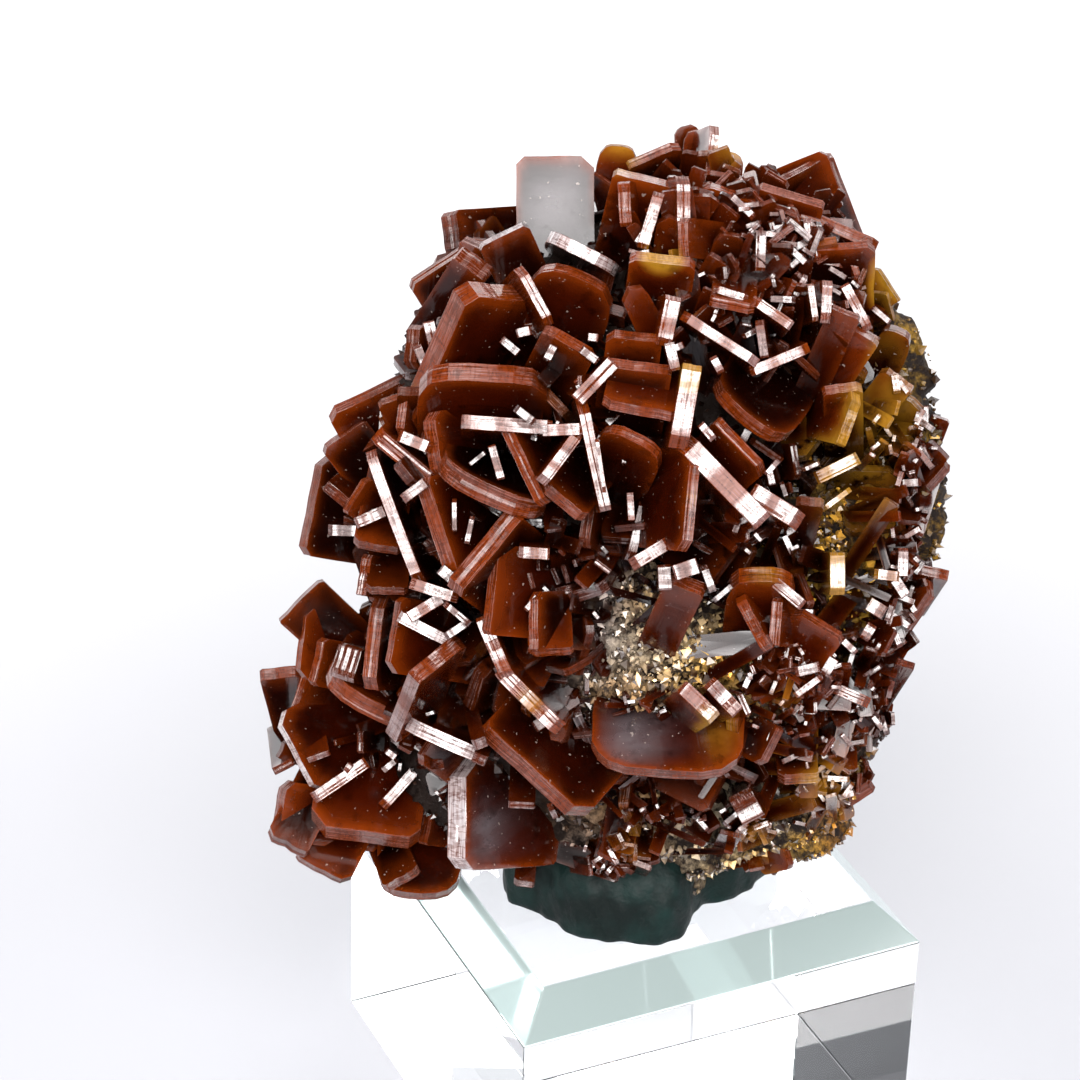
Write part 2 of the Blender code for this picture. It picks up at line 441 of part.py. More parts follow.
def main():
    clear_scene()
    crystal_mat = material("wulfenite", (0.30, 0.075, 0.02), 0.18, ior=2.3)
    rock_mat = material("rock", (0.36, 0.26, 0.13), 0.85)
    putty_mat = material("putty", (0.055, 0.075, 0.07), 0.6)
    block_mat = material("acrylic", (0.95, 0.97, 0.97), 0.02, transmission=1.0, ior=1.49)

    rock = add_object("matrix", rock_mesh(), rock_mat)
    shell = add_object("rock_clearance", rock_mesh(GAP / MM), rock_mat)
    stand = build_block("block_clearance", block_mat, GAP)

    recipes, trees = [], []
    for recipe in list(shown_crystals()) + list(back_crystals()):
        item = add_object("tablet", crystal_mesh(*recipe), crystal_mat)
        boolean(item, shell, "DIFFERENCE")
        if tidy(item, SMALLEST_PIECE) > 0.0:
            bm = bmesh.new()
            bm.from_mesh(item.data)
            trees.append(BVHTree.FromBMesh(bm))
            bm.free()
            recipes.append(recipe)
        bpy.data.objects.remove(item, do_unlink=True)

    groups = touching_groups(trees)
    nodes = []
    for number, group in enumerate(groups, start=1):
        item = add_object("tablet", crystal_mesh(*recipes[group[0]]), crystal_mat)
        if len(group) > 1:
            others = bpy.data.collections.new("others")
            for other in group[1:]:
                tablet = add_object("tablet", crystal_mesh(*recipes[other]), crystal_mat)
                others.objects.link(tablet)
            boolean(item, others, "UNION")
            for tablet in list(others.objects):
                bpy.data.objects.remove(tablet, do_unlink=True)
            bpy.data.collections.remove(others)
        boolean(item, shell, "DIFFERENCE")
        boolean(item, stand, "DIFFERENCE")
        volume = tidy(item)
        item.name = f"wulfenite_{'cluster' if len(group) > 1 else 'crystal'}_{number:02d}"
        nodes.append(item)
        print(item.name, len(group), round(volume), "mm3", len(item.data.polygons), "faces")

    # the putty takes the shape of the rock and of the crystals that press into it
    pressed = [shell]
    for recipe in recipes:
        bm = crystal_mesh(*recipe, grow=GAP / MM)
        if min(v.co.z for v in bm.verts) < PUTTY_TOP:
            pressed.append(add_object("press", bm, putty_mat))
        else:
            bm.free()
    build_putty(putty_mat, pressed)
    build_block("acrylic_block", block_mat)
    for item in pressed + [stand]:
        bpy.data.objects.remove(item, do_unlink=True)
    print("nodes", len(bpy.data.objects), "faces", sum(len(o.data.polygons) for o in bpy.data.objects))


main()
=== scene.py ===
"""Wulfenite on matrix: the finished look of the crystals, their rock, the putty and the clear block.

Lengths are worked out in millimetres and go into the meshes in metres. The origin is the centre of
the block's underside, +Z is up, and the shown face looks along -Y and a little upwards.
"""
import logging
import math
from dataclasses import dataclass, field, fields
from enum import Enum
from typing import Any, Iterator, Sequence, Union

import bpy
import numpy as np
from mathutils import Matrix, Vector


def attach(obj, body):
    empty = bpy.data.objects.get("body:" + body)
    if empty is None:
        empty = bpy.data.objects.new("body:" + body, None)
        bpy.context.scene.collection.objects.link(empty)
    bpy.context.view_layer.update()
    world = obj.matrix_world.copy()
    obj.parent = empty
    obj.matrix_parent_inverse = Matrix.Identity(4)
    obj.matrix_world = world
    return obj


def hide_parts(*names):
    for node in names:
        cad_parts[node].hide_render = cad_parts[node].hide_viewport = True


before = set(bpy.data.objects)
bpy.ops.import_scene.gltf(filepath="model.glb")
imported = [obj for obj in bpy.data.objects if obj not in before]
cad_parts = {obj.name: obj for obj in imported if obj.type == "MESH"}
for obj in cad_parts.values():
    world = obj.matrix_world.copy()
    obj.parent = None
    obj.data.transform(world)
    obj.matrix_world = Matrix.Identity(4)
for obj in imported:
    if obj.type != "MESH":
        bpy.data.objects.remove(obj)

LOG = logging.getLogger("wulfenite")
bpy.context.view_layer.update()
MM = 0.001
CRYSTAL_NODES = sorted(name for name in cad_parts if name.startswith("wulfenite_"))

Colour = tuple[float, float, float]
Real = Union[float, np.ndarray]


# The specimen's common forms


@dataclass(frozen=True)
class Viewpoint:
    """The viewer's place: apparent places are millimetres right and up on a plane at the axis point."""

    elevation: float = math.radians(30.72)
    roll: float = math.radians(-1.737)
    distance: float = 339.96
    axis_point: tuple[float, float, float] = (-8.89, 13.71, 48.47)
    focal_over_width: float = 3815.2 / 1080.0

    @property
    def right(self) -> np.ndarray:
        """Unit vector to the viewer's right."""
        return np.array([1.0, 0.0, 0.0])

    @property
    def up(self) -> np.ndarray:
        """Unit vector that the viewer sees as up."""
        return np.array([0.0, math.sin(self.elevation), math.cos(self.elevation)])

    @property
    def toward(self) -> np.ndarray:
        """Unit vector from the specimen to the viewer."""
        return np.array([0.0, -math.cos(self.elevation), math.sin(self.elevation)])

    def place(self, right: float, up: float, toward: float) -> np.ndarray:
        """The point that is seen at an apparent place.

        Args:
            right: apparent millimetres to the right of the axis.
            up: apparent millimetres above the axis.
            toward: distance from the axis plane to the viewer's side.

        Returns:
            The point in millimetres.
        """
        shrink = 1.0 - toward / self.distance
        across = right * shrink * self.right + up * shrink * self.up
        return np.array(self.axis_point) + across + toward * self.toward

    def apparent(self, points: np.ndarray) -> np.ndarray:
        """Apparent right, apparent up and distance toward the viewer of an array of points."""
        offset = points - np.array(self.axis_point)
        toward = offset @ self.toward
        shrink = 1.0 - toward / self.distance
        return np.stack([offset @ self.right / shrink, offset @ self.up / shrink, toward], axis=-1)

    def depth_on(self, half: np.ndarray, centre: np.ndarray, right: Real, up: Real) -> Real:
        """How far toward the viewer an ellipsoid lies at apparent places.

        The line of sight is start + t * step. It is put into the ellipsoid's quadratic, and the nearer root
        is taken.

        Args:
            half: half sizes of the ellipsoid.
            centre: its centre.
            right: apparent millimetres to the right, one number or an array.
            up: apparent millimetres up, likewise.

        Returns:
            The distance from the axis plane, one for each place.
        """
        across = np.asarray(right)[..., None] * self.right + np.asarray(up)[..., None] * self.up
        start = (np.array(self.axis_point) + across - centre) / half
        step = (self.toward - across / self.distance) / half
        a, b = (step * step).sum(-1), (start * step).sum(-1)
        c = (start * start).sum(-1) - 1.0
        return (-b + np.sqrt(np.maximum(0.0, b * b - a * c))) / a


VIEW = Viewpoint()

# Outline of the whole specimen as the viewer sees it: right and up in mm
OUTLINE = np.array([
    (12.5, 37.5), (17, 35), (24.5, 35.3), (26.5, 32.5), (28.8, 28), (31, 22.5), (32.8, 19), (31.5, 16),
    (34.3, 13), (36.4, 7.5), (34.5, 3), (34, 0), (36.6, -2), (35.4, -4), (33.6, -9.5), (32.3, -12),
    (32, -16), (30.2, -18), (30.6, -21), (27.5, -24.5), (24.5, -27), (21.5, -30.5), (18, -29),
    (13, -29.5), (8.8, -32.6), (3, -31), (-1, -32), (-7, -33), (-13, -32), (-17, -31.5), (-21.5, -29.5),
    (-23.8, -27), (-23, -21), (-23.5, -16.5), (-24.4, -12.7), (-21.5, -11), (-23, -7.8), (-19.7, -4),
    (-16.6, -7.6), (-15.3, -3), (-17, -2.3), (-21.3, -1.8), (-20, 7.3), (-19, 10.9), (-11.5, 14.6),
    (-12.3, 18.6), (-11, 24), (-9.4, 28.9), (-2.8, 30), (-2.8, 34.2), (3.3, 34.6), (7, 35.8), (9.5, 35),
])


def within_outline(points: np.ndarray) -> np.ndarray:
    """Which points the viewer sees inside the specimen's outline.

    A point is inside when a line from it to the right crosses the outline's edges an odd number of times.

    Args:
        points: array of points, shape (n, 3).

    Returns:
        Array of n booleans.
    """
    seen = VIEW.apparent(points)
    x, y = seen[:, 0:1], seen[:, 1:2]
    x0, y0 = OUTLINE[:, 0], OUTLINE[:, 1]
    x1, y1 = np.roll(x0, -1), np.roll(y0, -1)
    straddles = (y0 > y) != (y1 > y)
    with np.errstate(divide="ignore", invalid="ignore"):
        beyond = x < x0 + (y - y0) * (x1 - x0) / (y1 - y0)
    return (straddles & beyond).sum(axis=1) % 2 == 1


def smooth_noise(points: np.ndarray, scale: float, phase: float) -> np.ndarray:
    """Smooth repeatable unevenness in -1..1: products of sines whose phases are bent by other sines.

    Args:
        points: array of points in mm, shape (n, 3).
        scale: size of the unevenness in mm.
        phase: shifts the pattern.

    Returns:
        Array of n values.
    """
    x, y, z = (points / scale).T
    return (np.sin(1.7 * x + 2.3 * np.sin(1.1 * y + phase)) * np.cos(1.3 * z + 0.7 * phase)
            + np.sin(2.1 * y + 1.9 * np.sin(1.3 * z + 2 * phase)) * np.cos(1.9 * x - phase)) / 2


def unit(vectors: np.ndarray) -> np.ndarray:
    """Vectors scaled to length one along the last axis."""
    return vectors / np.linalg.norm(vectors, axis=-1, keepdims=True)


@dataclass(frozen=True)
class Lump:
    """The rock's common form: a boxy ellipsoid with swellings where it lies bare."""

    centre: tuple[float, float, float] = (-0.9, 1.0, 58.6)
    half: tuple[float, float, float] = (19.5, 17.0, 25.5)
    squareness: float = 2.5
    rim_half: tuple[float, float, float] = (28.5, 25.0, 33.5)
    swellings: tuple[tuple[float, float, float, float], ...] = (
        (11.0, -9.0, 7.0, 6.2), (13.0, -25.0, 6.5, 7.0), (28.5, 3.0, 6.0, 6.6), (25.0, -20.0, 6.0, 7.4),
        (5.5, -22.5, 4.2, 4.4), (21.5, -20.2, 4.0, 4.8), (31.0, 12.0, 5.0, 5.6), (30.0, 18.0, 4.0, 4.6),
        (21.0, -9.5, 5.5, 4.4), (6.0, 32.0, 4.5, 4.0), (29.0, -12.0, 5.0, 5.4), (-9.0, -21.0, 8.5, 11.0),
        (-9.0, 10.0, 6.5, 3.0), (17.0, 24.0, 5.5, 3.6),
    )
    ledge: float = 2.4
    missed: float = 12.0

    @property
    def middle(self) -> np.ndarray:
        """The centre as an array."""
        return np.array(self.centre)

    def radius(self, directions: np.ndarray) -> np.ndarray:
        """Distance of the rock's surface from its centre.

        A boxy ellipsoid (the powers of the scaled coordinates add up to one), plus a bell-shaped rise
        round each swelling, plus two scales of smooth noise.

        Args:
            directions: unit vectors, shape (n, 3).

        Returns:
            Array of n radii in mm.
        """
        half = np.array(self.half)
        radius = (np.abs(directions / half) ** self.squareness).sum(axis=1) ** (-1.0 / self.squareness)
        surface = directions * radius[:, None]
        for right, up, spread, height in self.swellings:
            peak = VIEW.place(right, up, VIEW.depth_on(half, self.middle, right, up)) - self.middle
            distance = np.linalg.norm(surface - peak, axis=1)
            radius = radius + height * np.exp(-(distance / spread) ** 2)
        return radius + 1.7 * smooth_noise(surface, 8.0, 0.6) + 1.0 * smooth_noise(surface, 4.1, 2.1)

    def rim_place(self, right: float, up: float, lift: float) -> np.ndarray:
        """The point at an apparent place on the common level of the crystals' rims, lifted to the viewer."""
        return VIEW.place(right, up, VIEW.depth_on(np.array(self.rim_half), self.middle, right, up) + lift)

    # the crystals take painted shade from this, darker toward their roots
    def rootward(self, points: np.ndarray) -> np.ndarray:
        """How far points lie below the rims' common level: 0 there and 1 a sixth of the way to the centre."""
        level = np.linalg.norm((points - self.middle) / np.array(self.rim_half), axis=1)
        return np.clip((0.985 - level) / 0.16, 0.0, 1.0)

    def ledged(self, directions: np.ndarray) -> np.ndarray:
        """The radius drawn nearly half of the way to the nearest ledge."""
        radius = self.radius(directions)
        return 0.55 * radius + 0.45 * np.round(radius / self.ledge) * self.ledge

    def root_depth(self, rim: np.ndarray, out: np.ndarray) -> float:
        """How far back along -out the rock lies from a rim, or the missed depth where there is none."""
        back = np.arange(0.0, 20.0, 0.25)
        points = rim - back[:, None] * out - self.middle
        distance = np.linalg.norm(points, axis=1)
        inside = distance < self.radius(points / distance[:, None])
        return float(back[inside.argmax()]) if inside.any() else self.missed


LUMP = Lump()


# Meshes from whole arrays


def ring_angles(rows: int, columns: int) -> tuple[np.ndarray, np.ndarray]:
    """Angles from the top and round the axis of rings of points, without the two poles."""
    polar = np.linspace(0.0, math.pi, rows + 2)[1:-1]
    turn = np.arange(columns) / columns * 2.0 * math.pi
    return tuple(np.meshgrid(polar, turn, indexing="ij"))


def ring_faces(rows: int, columns: int) -> tuple[np.ndarray, np.ndarray]:
    """Faces of rings of points that a pole closes at each end.

    The points of the rings come first, ring by ring, and then the two poles.

    Args:
        rows: number of rings.
        columns: points round each ring.

    Returns:
        The four-cornered faces between the rings and the three-cornered ones round the poles.
    """
    row, column = np.meshgrid(np.arange(rows - 1), np.arange(columns), indexing="ij")
    after = (column + 1) % columns
    quads = np.stack([row * columns + column, (row + 1) * columns + column,
                      (row + 1) * columns + after, row * columns + after], -1).reshape(-1, 4)
    here = np.arange(columns)
    there, last, count = (here + 1) % columns, (rows - 1) * columns, rows * columns
    fans = np.concatenate([np.stack([here, there, np.full_like(here, count)], -1),
                           np.stack([last + there, last + here, np.full_like(here, count + 1)], -1)])
    return quads, fans


@dataclass
class Surface:
    """A mesh as arrays: points in mm, four-cornered and three-cornered faces, and what is known per point."""

    points: np.ndarray
    quads: np.ndarray
    triangles: np.ndarray
    quad_uv: np.ndarray | None = None
    triangle_uv: np.ndarray | None = None
    values: dict[str, np.ndarray] = field(default_factory=dict)

    def make(self, name: str, material: bpy.types.Material, smooth: bool = False) -> bpy.types.Object:
        """Put the arrays into a new object at the origin.

        Args:
            name: the piece's name.
            material: its finish.
            smooth: whether faces are shaded as one smooth surface.

        Returns:
            The new object.
        """
        mesh = bpy.data.meshes.new(name)
        corners = np.concatenate([self.quads.ravel(), self.triangles.ravel()]).astype(np.int32)
        sizes = np.concatenate([np.full(len(self.quads), 4), np.full(len(self.triangles), 3)])
        starts = np.concatenate([[0], np.cumsum(sizes)[:-1]]).astype(np.int32)
        mesh.vertices.add(len(self.points))
        mesh.vertices.foreach_set("co", (self.points * MM).astype(np.float32).ravel())
        mesh.loops.add(len(corners))
        mesh.loops.foreach_set("vertex_index", corners)
        mesh.polygons.add(len(sizes))
        mesh.polygons.foreach_set("loop_start", starts)
        mesh.polygons.foreach_set("use_smooth", np.full(len(sizes), smooth))
        if self.quad_uv is not None and self.triangle_uv is not None:
            growth = np.concatenate([self.quad_uv.ravel(), self.triangle_uv.ravel()]).astype(np.float32)
            mesh.uv_layers.new(name="growth").uv.foreach_set("vector", growth)
        for label, value in self.values.items():
            kind, slot = ("FLOAT", "value") if value.ndim == 1 else ("FLOAT_VECTOR", "vector")
            layer = mesh.attributes.new(label, kind, "POINT")
            layer.data.foreach_set(slot, value.astype(np.float32).ravel())
        mesh.materials.append(material)
        mesh.update(calc_edges=True)
        mesh.validate()
        piece = bpy.data.objects.new(name, mesh)
        bpy.context.scene.collection.objects.link(piece)
        return piece


# Outline powers of a domed and of a square crystal, and how much each bends over its length
ROUND_POWER, SQUARE_POWER = 3.6, 60.0
DOMED_BEND, STRAIGHT_BEND = 0.010, 0.0025

# How deep the rim's glow reaches, where the faces' growth coordinate starts, and the shift between crystals
GLOW_DEPTH, FACE_START, CRYSTAL_SHIFT = 0.9, 3.0, 7.31


@dataclass
class Rings:
    """Rings across crystals, a row for each crystal: share of the way out, inset, height, how much rim."""

    share: np.ndarray
    inset: np.ndarray
    height: np.ndarray
    rim: np.ndarray


@dataclass
class Tablets:
    """Many flat crystals as arrays, one row each: rim middle, frame, sizes and looks, in mm."""

    rim: np.ndarray
    along: np.ndarray
    out: np.ndarray
    length: np.ndarray
    reach: np.ndarray
    thick: np.ndarray
    domed: np.ndarray
    amber: np.ndarray
    shine: np.ndarray
    gloss_and_sheen: np.ndarray

    @classmethod
    def gather(cls, rows: Sequence[tuple]) -> "Tablets":
        """Turn a list of (rim, along, out, length, reach, thick, domed, amber, shine, gloss) into arrays."""
        return cls(*(np.array(column, dtype=float) for column in zip(*rows)))

    def chosen(self, keep: np.ndarray) -> "Tablets":
        """The tablets for which keep is true."""
        return Tablets(*(getattr(self, column.name)[keep] for column in fields(self)))

    @property
    def short(self) -> np.ndarray:
        """Half of each crystal's shorter side."""
        return np.minimum(self.length, self.reach) / 2

    def outlines(self, per_side: int, rng: np.random.Generator) -> tuple[np.ndarray, np.ndarray]:
        """Places round each crystal's outline, along its length and its reach.

        A rectangle with its corners cut, or pressed to a rounder curve when domed, and nicked here and there.

        Args:
            per_side: points on each of the four sides.
            rng: the source of the cuts and nicks.

        Returns:
            Two arrays, a row for each crystal.
        """
        half_a, half_b = self.length / 2, self.reach / 2
        cut = self.short[:, None] * rng.uniform(0.06, 0.34, (len(half_a), 4))
        share = np.linspace(0.0, 1.0, per_side)[None, :]

        def side(low: np.ndarray, high: np.ndarray) -> np.ndarray:
            """Places from low to high, a row for each crystal."""
            return low[:, None] + (high - low)[:, None] * share

        top = np.repeat(half_b[:, None], per_side, 1)
        edge = np.repeat(half_a[:, None], per_side, 1)
        a = np.concatenate([side(-half_a + cut[:, 0], half_a - cut[:, 1]), edge,
                            side(half_a - cut[:, 2], -half_a + cut[:, 3]), -edge], axis=1)
        b = np.concatenate([top, side(half_b - cut[:, 1], -half_b + cut[:, 2]),
                            -top, side(-half_b + cut[:, 3], half_b - cut[:, 0])], axis=1)
        power = np.where(self.domed > 0, ROUND_POWER, SQUARE_POWER)[:, None]
        sum_of_powers = (np.abs(a) / half_a[:, None]) ** power + (np.abs(b) / half_b[:, None]) ** power
        norm = np.maximum(sum_of_powers ** (1 / power), 1e-6)
        nick = 1.0 - np.abs(np.round(rng.normal(0.0, 0.8, a.shape))) * 0.009
        return a / norm * nick, b / norm * nick

    def rings(self, sheets: int, terraces: int, rng: np.random.Generator) -> Rings:
        """The rings across each crystal, from the middle of one broad face to the middle of the other.

        They run outward over flat terraces to the rim, down over the rim's sheets, each set in by its own
        small amount, and back inward over the other face's terraces.

        Args:
            sheets: how many growth sheets the rim shows.
            terraces: flat steps on each broad face, or none.
            rng: the source of the unevenness.

        Returns:
            The rings' places.
        """
        count, thick = len(self.length), self.thick
        face_share = np.linspace(0.0, 1.0, terraces + 1)[1:]
        jitter = rng.uniform(0.05, 0.9 / max(terraces, 1), (count, terraces))
        step_share = np.sort(np.clip(face_share - jitter, 0.12, 0.97), 1)
        rise = np.cumsum(rng.normal(0.0, 0.010, (2, count, terraces)), axis=2)
        rise = rise * np.minimum(thick, 1.6)[None, :, None]
        rise = rise - rise[:, :, -1:]
        level = np.linspace(0.5, -0.5, 2 * sheets) + rng.normal(0.0, 0.10 / sheets, (count, 2 * sheets))
        level = np.sort(np.clip(level, -0.5, 0.5), 1)[:, ::-1]
        level[:, 0], level[:, -1] = 0.47, -0.47
        inset = np.repeat(np.abs(rng.normal(0.0, 0.030, (count, sheets))), 2, axis=1)
        inset = inset * np.minimum(thick, 2.0)[:, None]

        none, whole = np.zeros(count), np.ones(count)

        def face(number: int, sign: int) -> list[tuple[np.ndarray, ...]]:
            """The rings of one broad face from its middle outward: two at each terrace, and its edge."""
            steps = [(np.clip(step_share[:, step] + nudge, 0.0, 0.985), none,
                      sign * 0.5 * thick + rise[number, :, min(step + beyond, terraces - 1)], none)
                     for step in range(terraces) for beyond, nudge in enumerate((0.0, 0.035))]
            return steps + [(whole, 0.03 * thick, sign * 0.5 * thick, 0.5 * whole)]

        edge = [(whole, inset[:, step], level[:, step] * thick, whole) for step in range(2 * sheets)]
        across = face(0, 1) + edge + face(1, -1)[::-1]
        return Rings(*(np.stack(column, axis=1) for column in zip(*across)))

    def surface(self, per_side: int, sheets: int, terraces: int, seed: int) -> Surface:
        """Closed crystals with cut corners, stepped rims and terraced faces.

        Each crystal is its outline repeated on its rings. A point is middle + a * along + b * out +
        h * normal. a and b are the outline's places drawn in by the ring, and h is its height less a bend.

        Args:
            per_side: points on each of the four sides.
            sheets: how many growth sheets the rim shows.
            terraces: flat steps on each broad face, or none.
            seed: seed of the unevenness.

        Returns:
            One surface of all the crystals.
        """
        rng = np.random.default_rng(seed)
        count, short = len(self.length), self.short
        a, b = self.outlines(per_side, rng)
        rings = self.rings(sheets, terraces, rng)
        round_count, ring_count = a.shape[1], rings.share.shape[1]
        per = ring_count * round_count + 2

        # points: crystal, ring, place round it, and a pole in the middle of each broad face
        away = np.maximum(np.hypot(a, b)[:, None, :], 0.1)
        scale = np.maximum(rings.share[:, :, None] - rings.inset[:, :, None] / away, 0.02)
        ring_a, ring_b = a[:, None, :] * scale, b[:, None, :] * scale
        normal = np.cross(self.along, self.out)
        centre = self.rim - (self.reach / 2)[:, None] * self.out
        bend = np.where(self.domed > 0, DOMED_BEND, STRAIGHT_BEND)[:, None, None] * ring_a ** 2
        points = (centre[:, None, None, :] + ring_a[..., None] * self.along[:, None, None, :]
                  + ring_b[..., None] * self.out[:, None, None, :]
                  + (rings.height[:, :, None] - bend)[..., None] * normal[:, None, None, :])
        poles = [(centre + rings.height[:, end][:, None] * normal)[:, None] for end in (0, -1)]
        flat = np.concatenate([points.reshape(count, -1, 3), *poles], axis=1).reshape(-1, 3)

        # faces, the same for every crystal, wound the other way round from the rock's
        quad, fan = ring_faces(ring_count, round_count)
        quad, fan = quad[:, [0, 3, 2, 1]], fan[:, [1, 0, 2]]
        offset = (np.arange(count) * per)[:, None, None]
        quads, fans = (offset + quad).reshape(-1, 4), (offset + fan).reshape(-1, 3)
        quad_uv, fan_uv = self.growth(rings, round_count)

        def on_points(per_ring: np.ndarray) -> np.ndarray:
            """A value of each ring on all its points, and nothing on the poles."""
            on_rings = np.repeat(per_ring[:, :, None], round_count, 2).reshape(count, -1)
            return np.concatenate([on_rings, np.zeros((count, 2))], 1).ravel()

        near = np.exp(-(1.0 - rings.share) * short[:, None] / GLOW_DEPTH)
        near = near * np.clip(short / 2.0, 0.55, 1.0)[:, None]
        amber, shine, gloss_and_sheen, chance = (np.repeat(value, per) for value in (
            self.amber, self.shine, self.gloss_and_sheen, rng.uniform(0.0, 1.0, count)))
        values = {"rim": on_points(rings.rim), "near_rim": on_points(near), "root": LUMP.rootward(flat),
                  "amber": np.maximum(amber, amber_at(flat)), "shine": shine,
                  "gloss_and_sheen": gloss_and_sheen * gleam_at(flat), "chance": chance}

        # the first crystal tells whether the faces look inward, and then all are turned over
        sample, middle = flat[quads[:len(quad)]], flat[:per].mean(axis=0)
        facing = np.cross(sample[:, 1] - sample[:, 0], sample[:, 3] - sample[:, 0])
        if np.einsum("ij,ij->i", facing, sample.mean(axis=1) - middle).sum() < 0:
            quads, fans = quads[:, ::-1], fans[:, ::-1]
            quad_uv = quad_uv.reshape(-1, 4, 2)[:, ::-1].reshape(-1, 2)
            fan_uv = fan_uv.reshape(-1, 3, 2)[:, ::-1].reshape(-1, 2)
        return Surface(flat, quads, fans, quad_uv, fan_uv, values)

    def growth(self, rings: Rings, round_count: int) -> tuple[np.ndarray, np.ndarray]:
        """Growth coordinates in mm at the faces' corners.

        One runs round the crystal. The other runs inward on the broad faces, and through the thickness on
        the rim. Each crystal starts at its own place, so that no two look the same.

        Args:
            rings: the rings across the crystals.
            round_count: points round each ring.

        Returns:
            Coordinates of the corners of the four-cornered and of the three-cornered faces.
        """
        ring_count, short = rings.share.shape[1], self.short
        inward = np.where(rings.rim > 0.9, rings.height, FACE_START + (1.0 - rings.share) * short[:, None])
        girth = (2.0 * (self.length + self.reach))[:, None]
        around = np.arange(round_count + 1)[None, :] / round_count * girth
        around = around + (np.arange(len(short)) * CRYSTAL_SHIFT)[:, None]
        start, stop = around[:, :-1], around[:, 1:]
        u = np.stack([start, stop, stop, start], -1)[:, None].repeat(ring_count - 1, 1)
        outer, inner = inward[:, :-1], inward[:, 1:]
        v = np.stack([outer, outer, inner, inner], -1)[:, :, None].repeat(round_count, 2)

        def cap(first: np.ndarray, second: np.ndarray, ring: np.ndarray) -> np.ndarray:
            """The corners of the faces round one pole."""
            edge, middle = (value.repeat(round_count, 1) for value in (ring, (FACE_START + short)[:, None]))
            return np.stack([np.stack([first, second, start], -1), np.stack([edge, edge, middle], -1)], -1)

        caps = [cap(stop, start, inward[:, :1]), cap(start, stop, inward[:, -1:])]
        return np.stack([u, v], -1).reshape(-1, 2), np.concatenate(caps, axis=1).reshape(-1, 2)


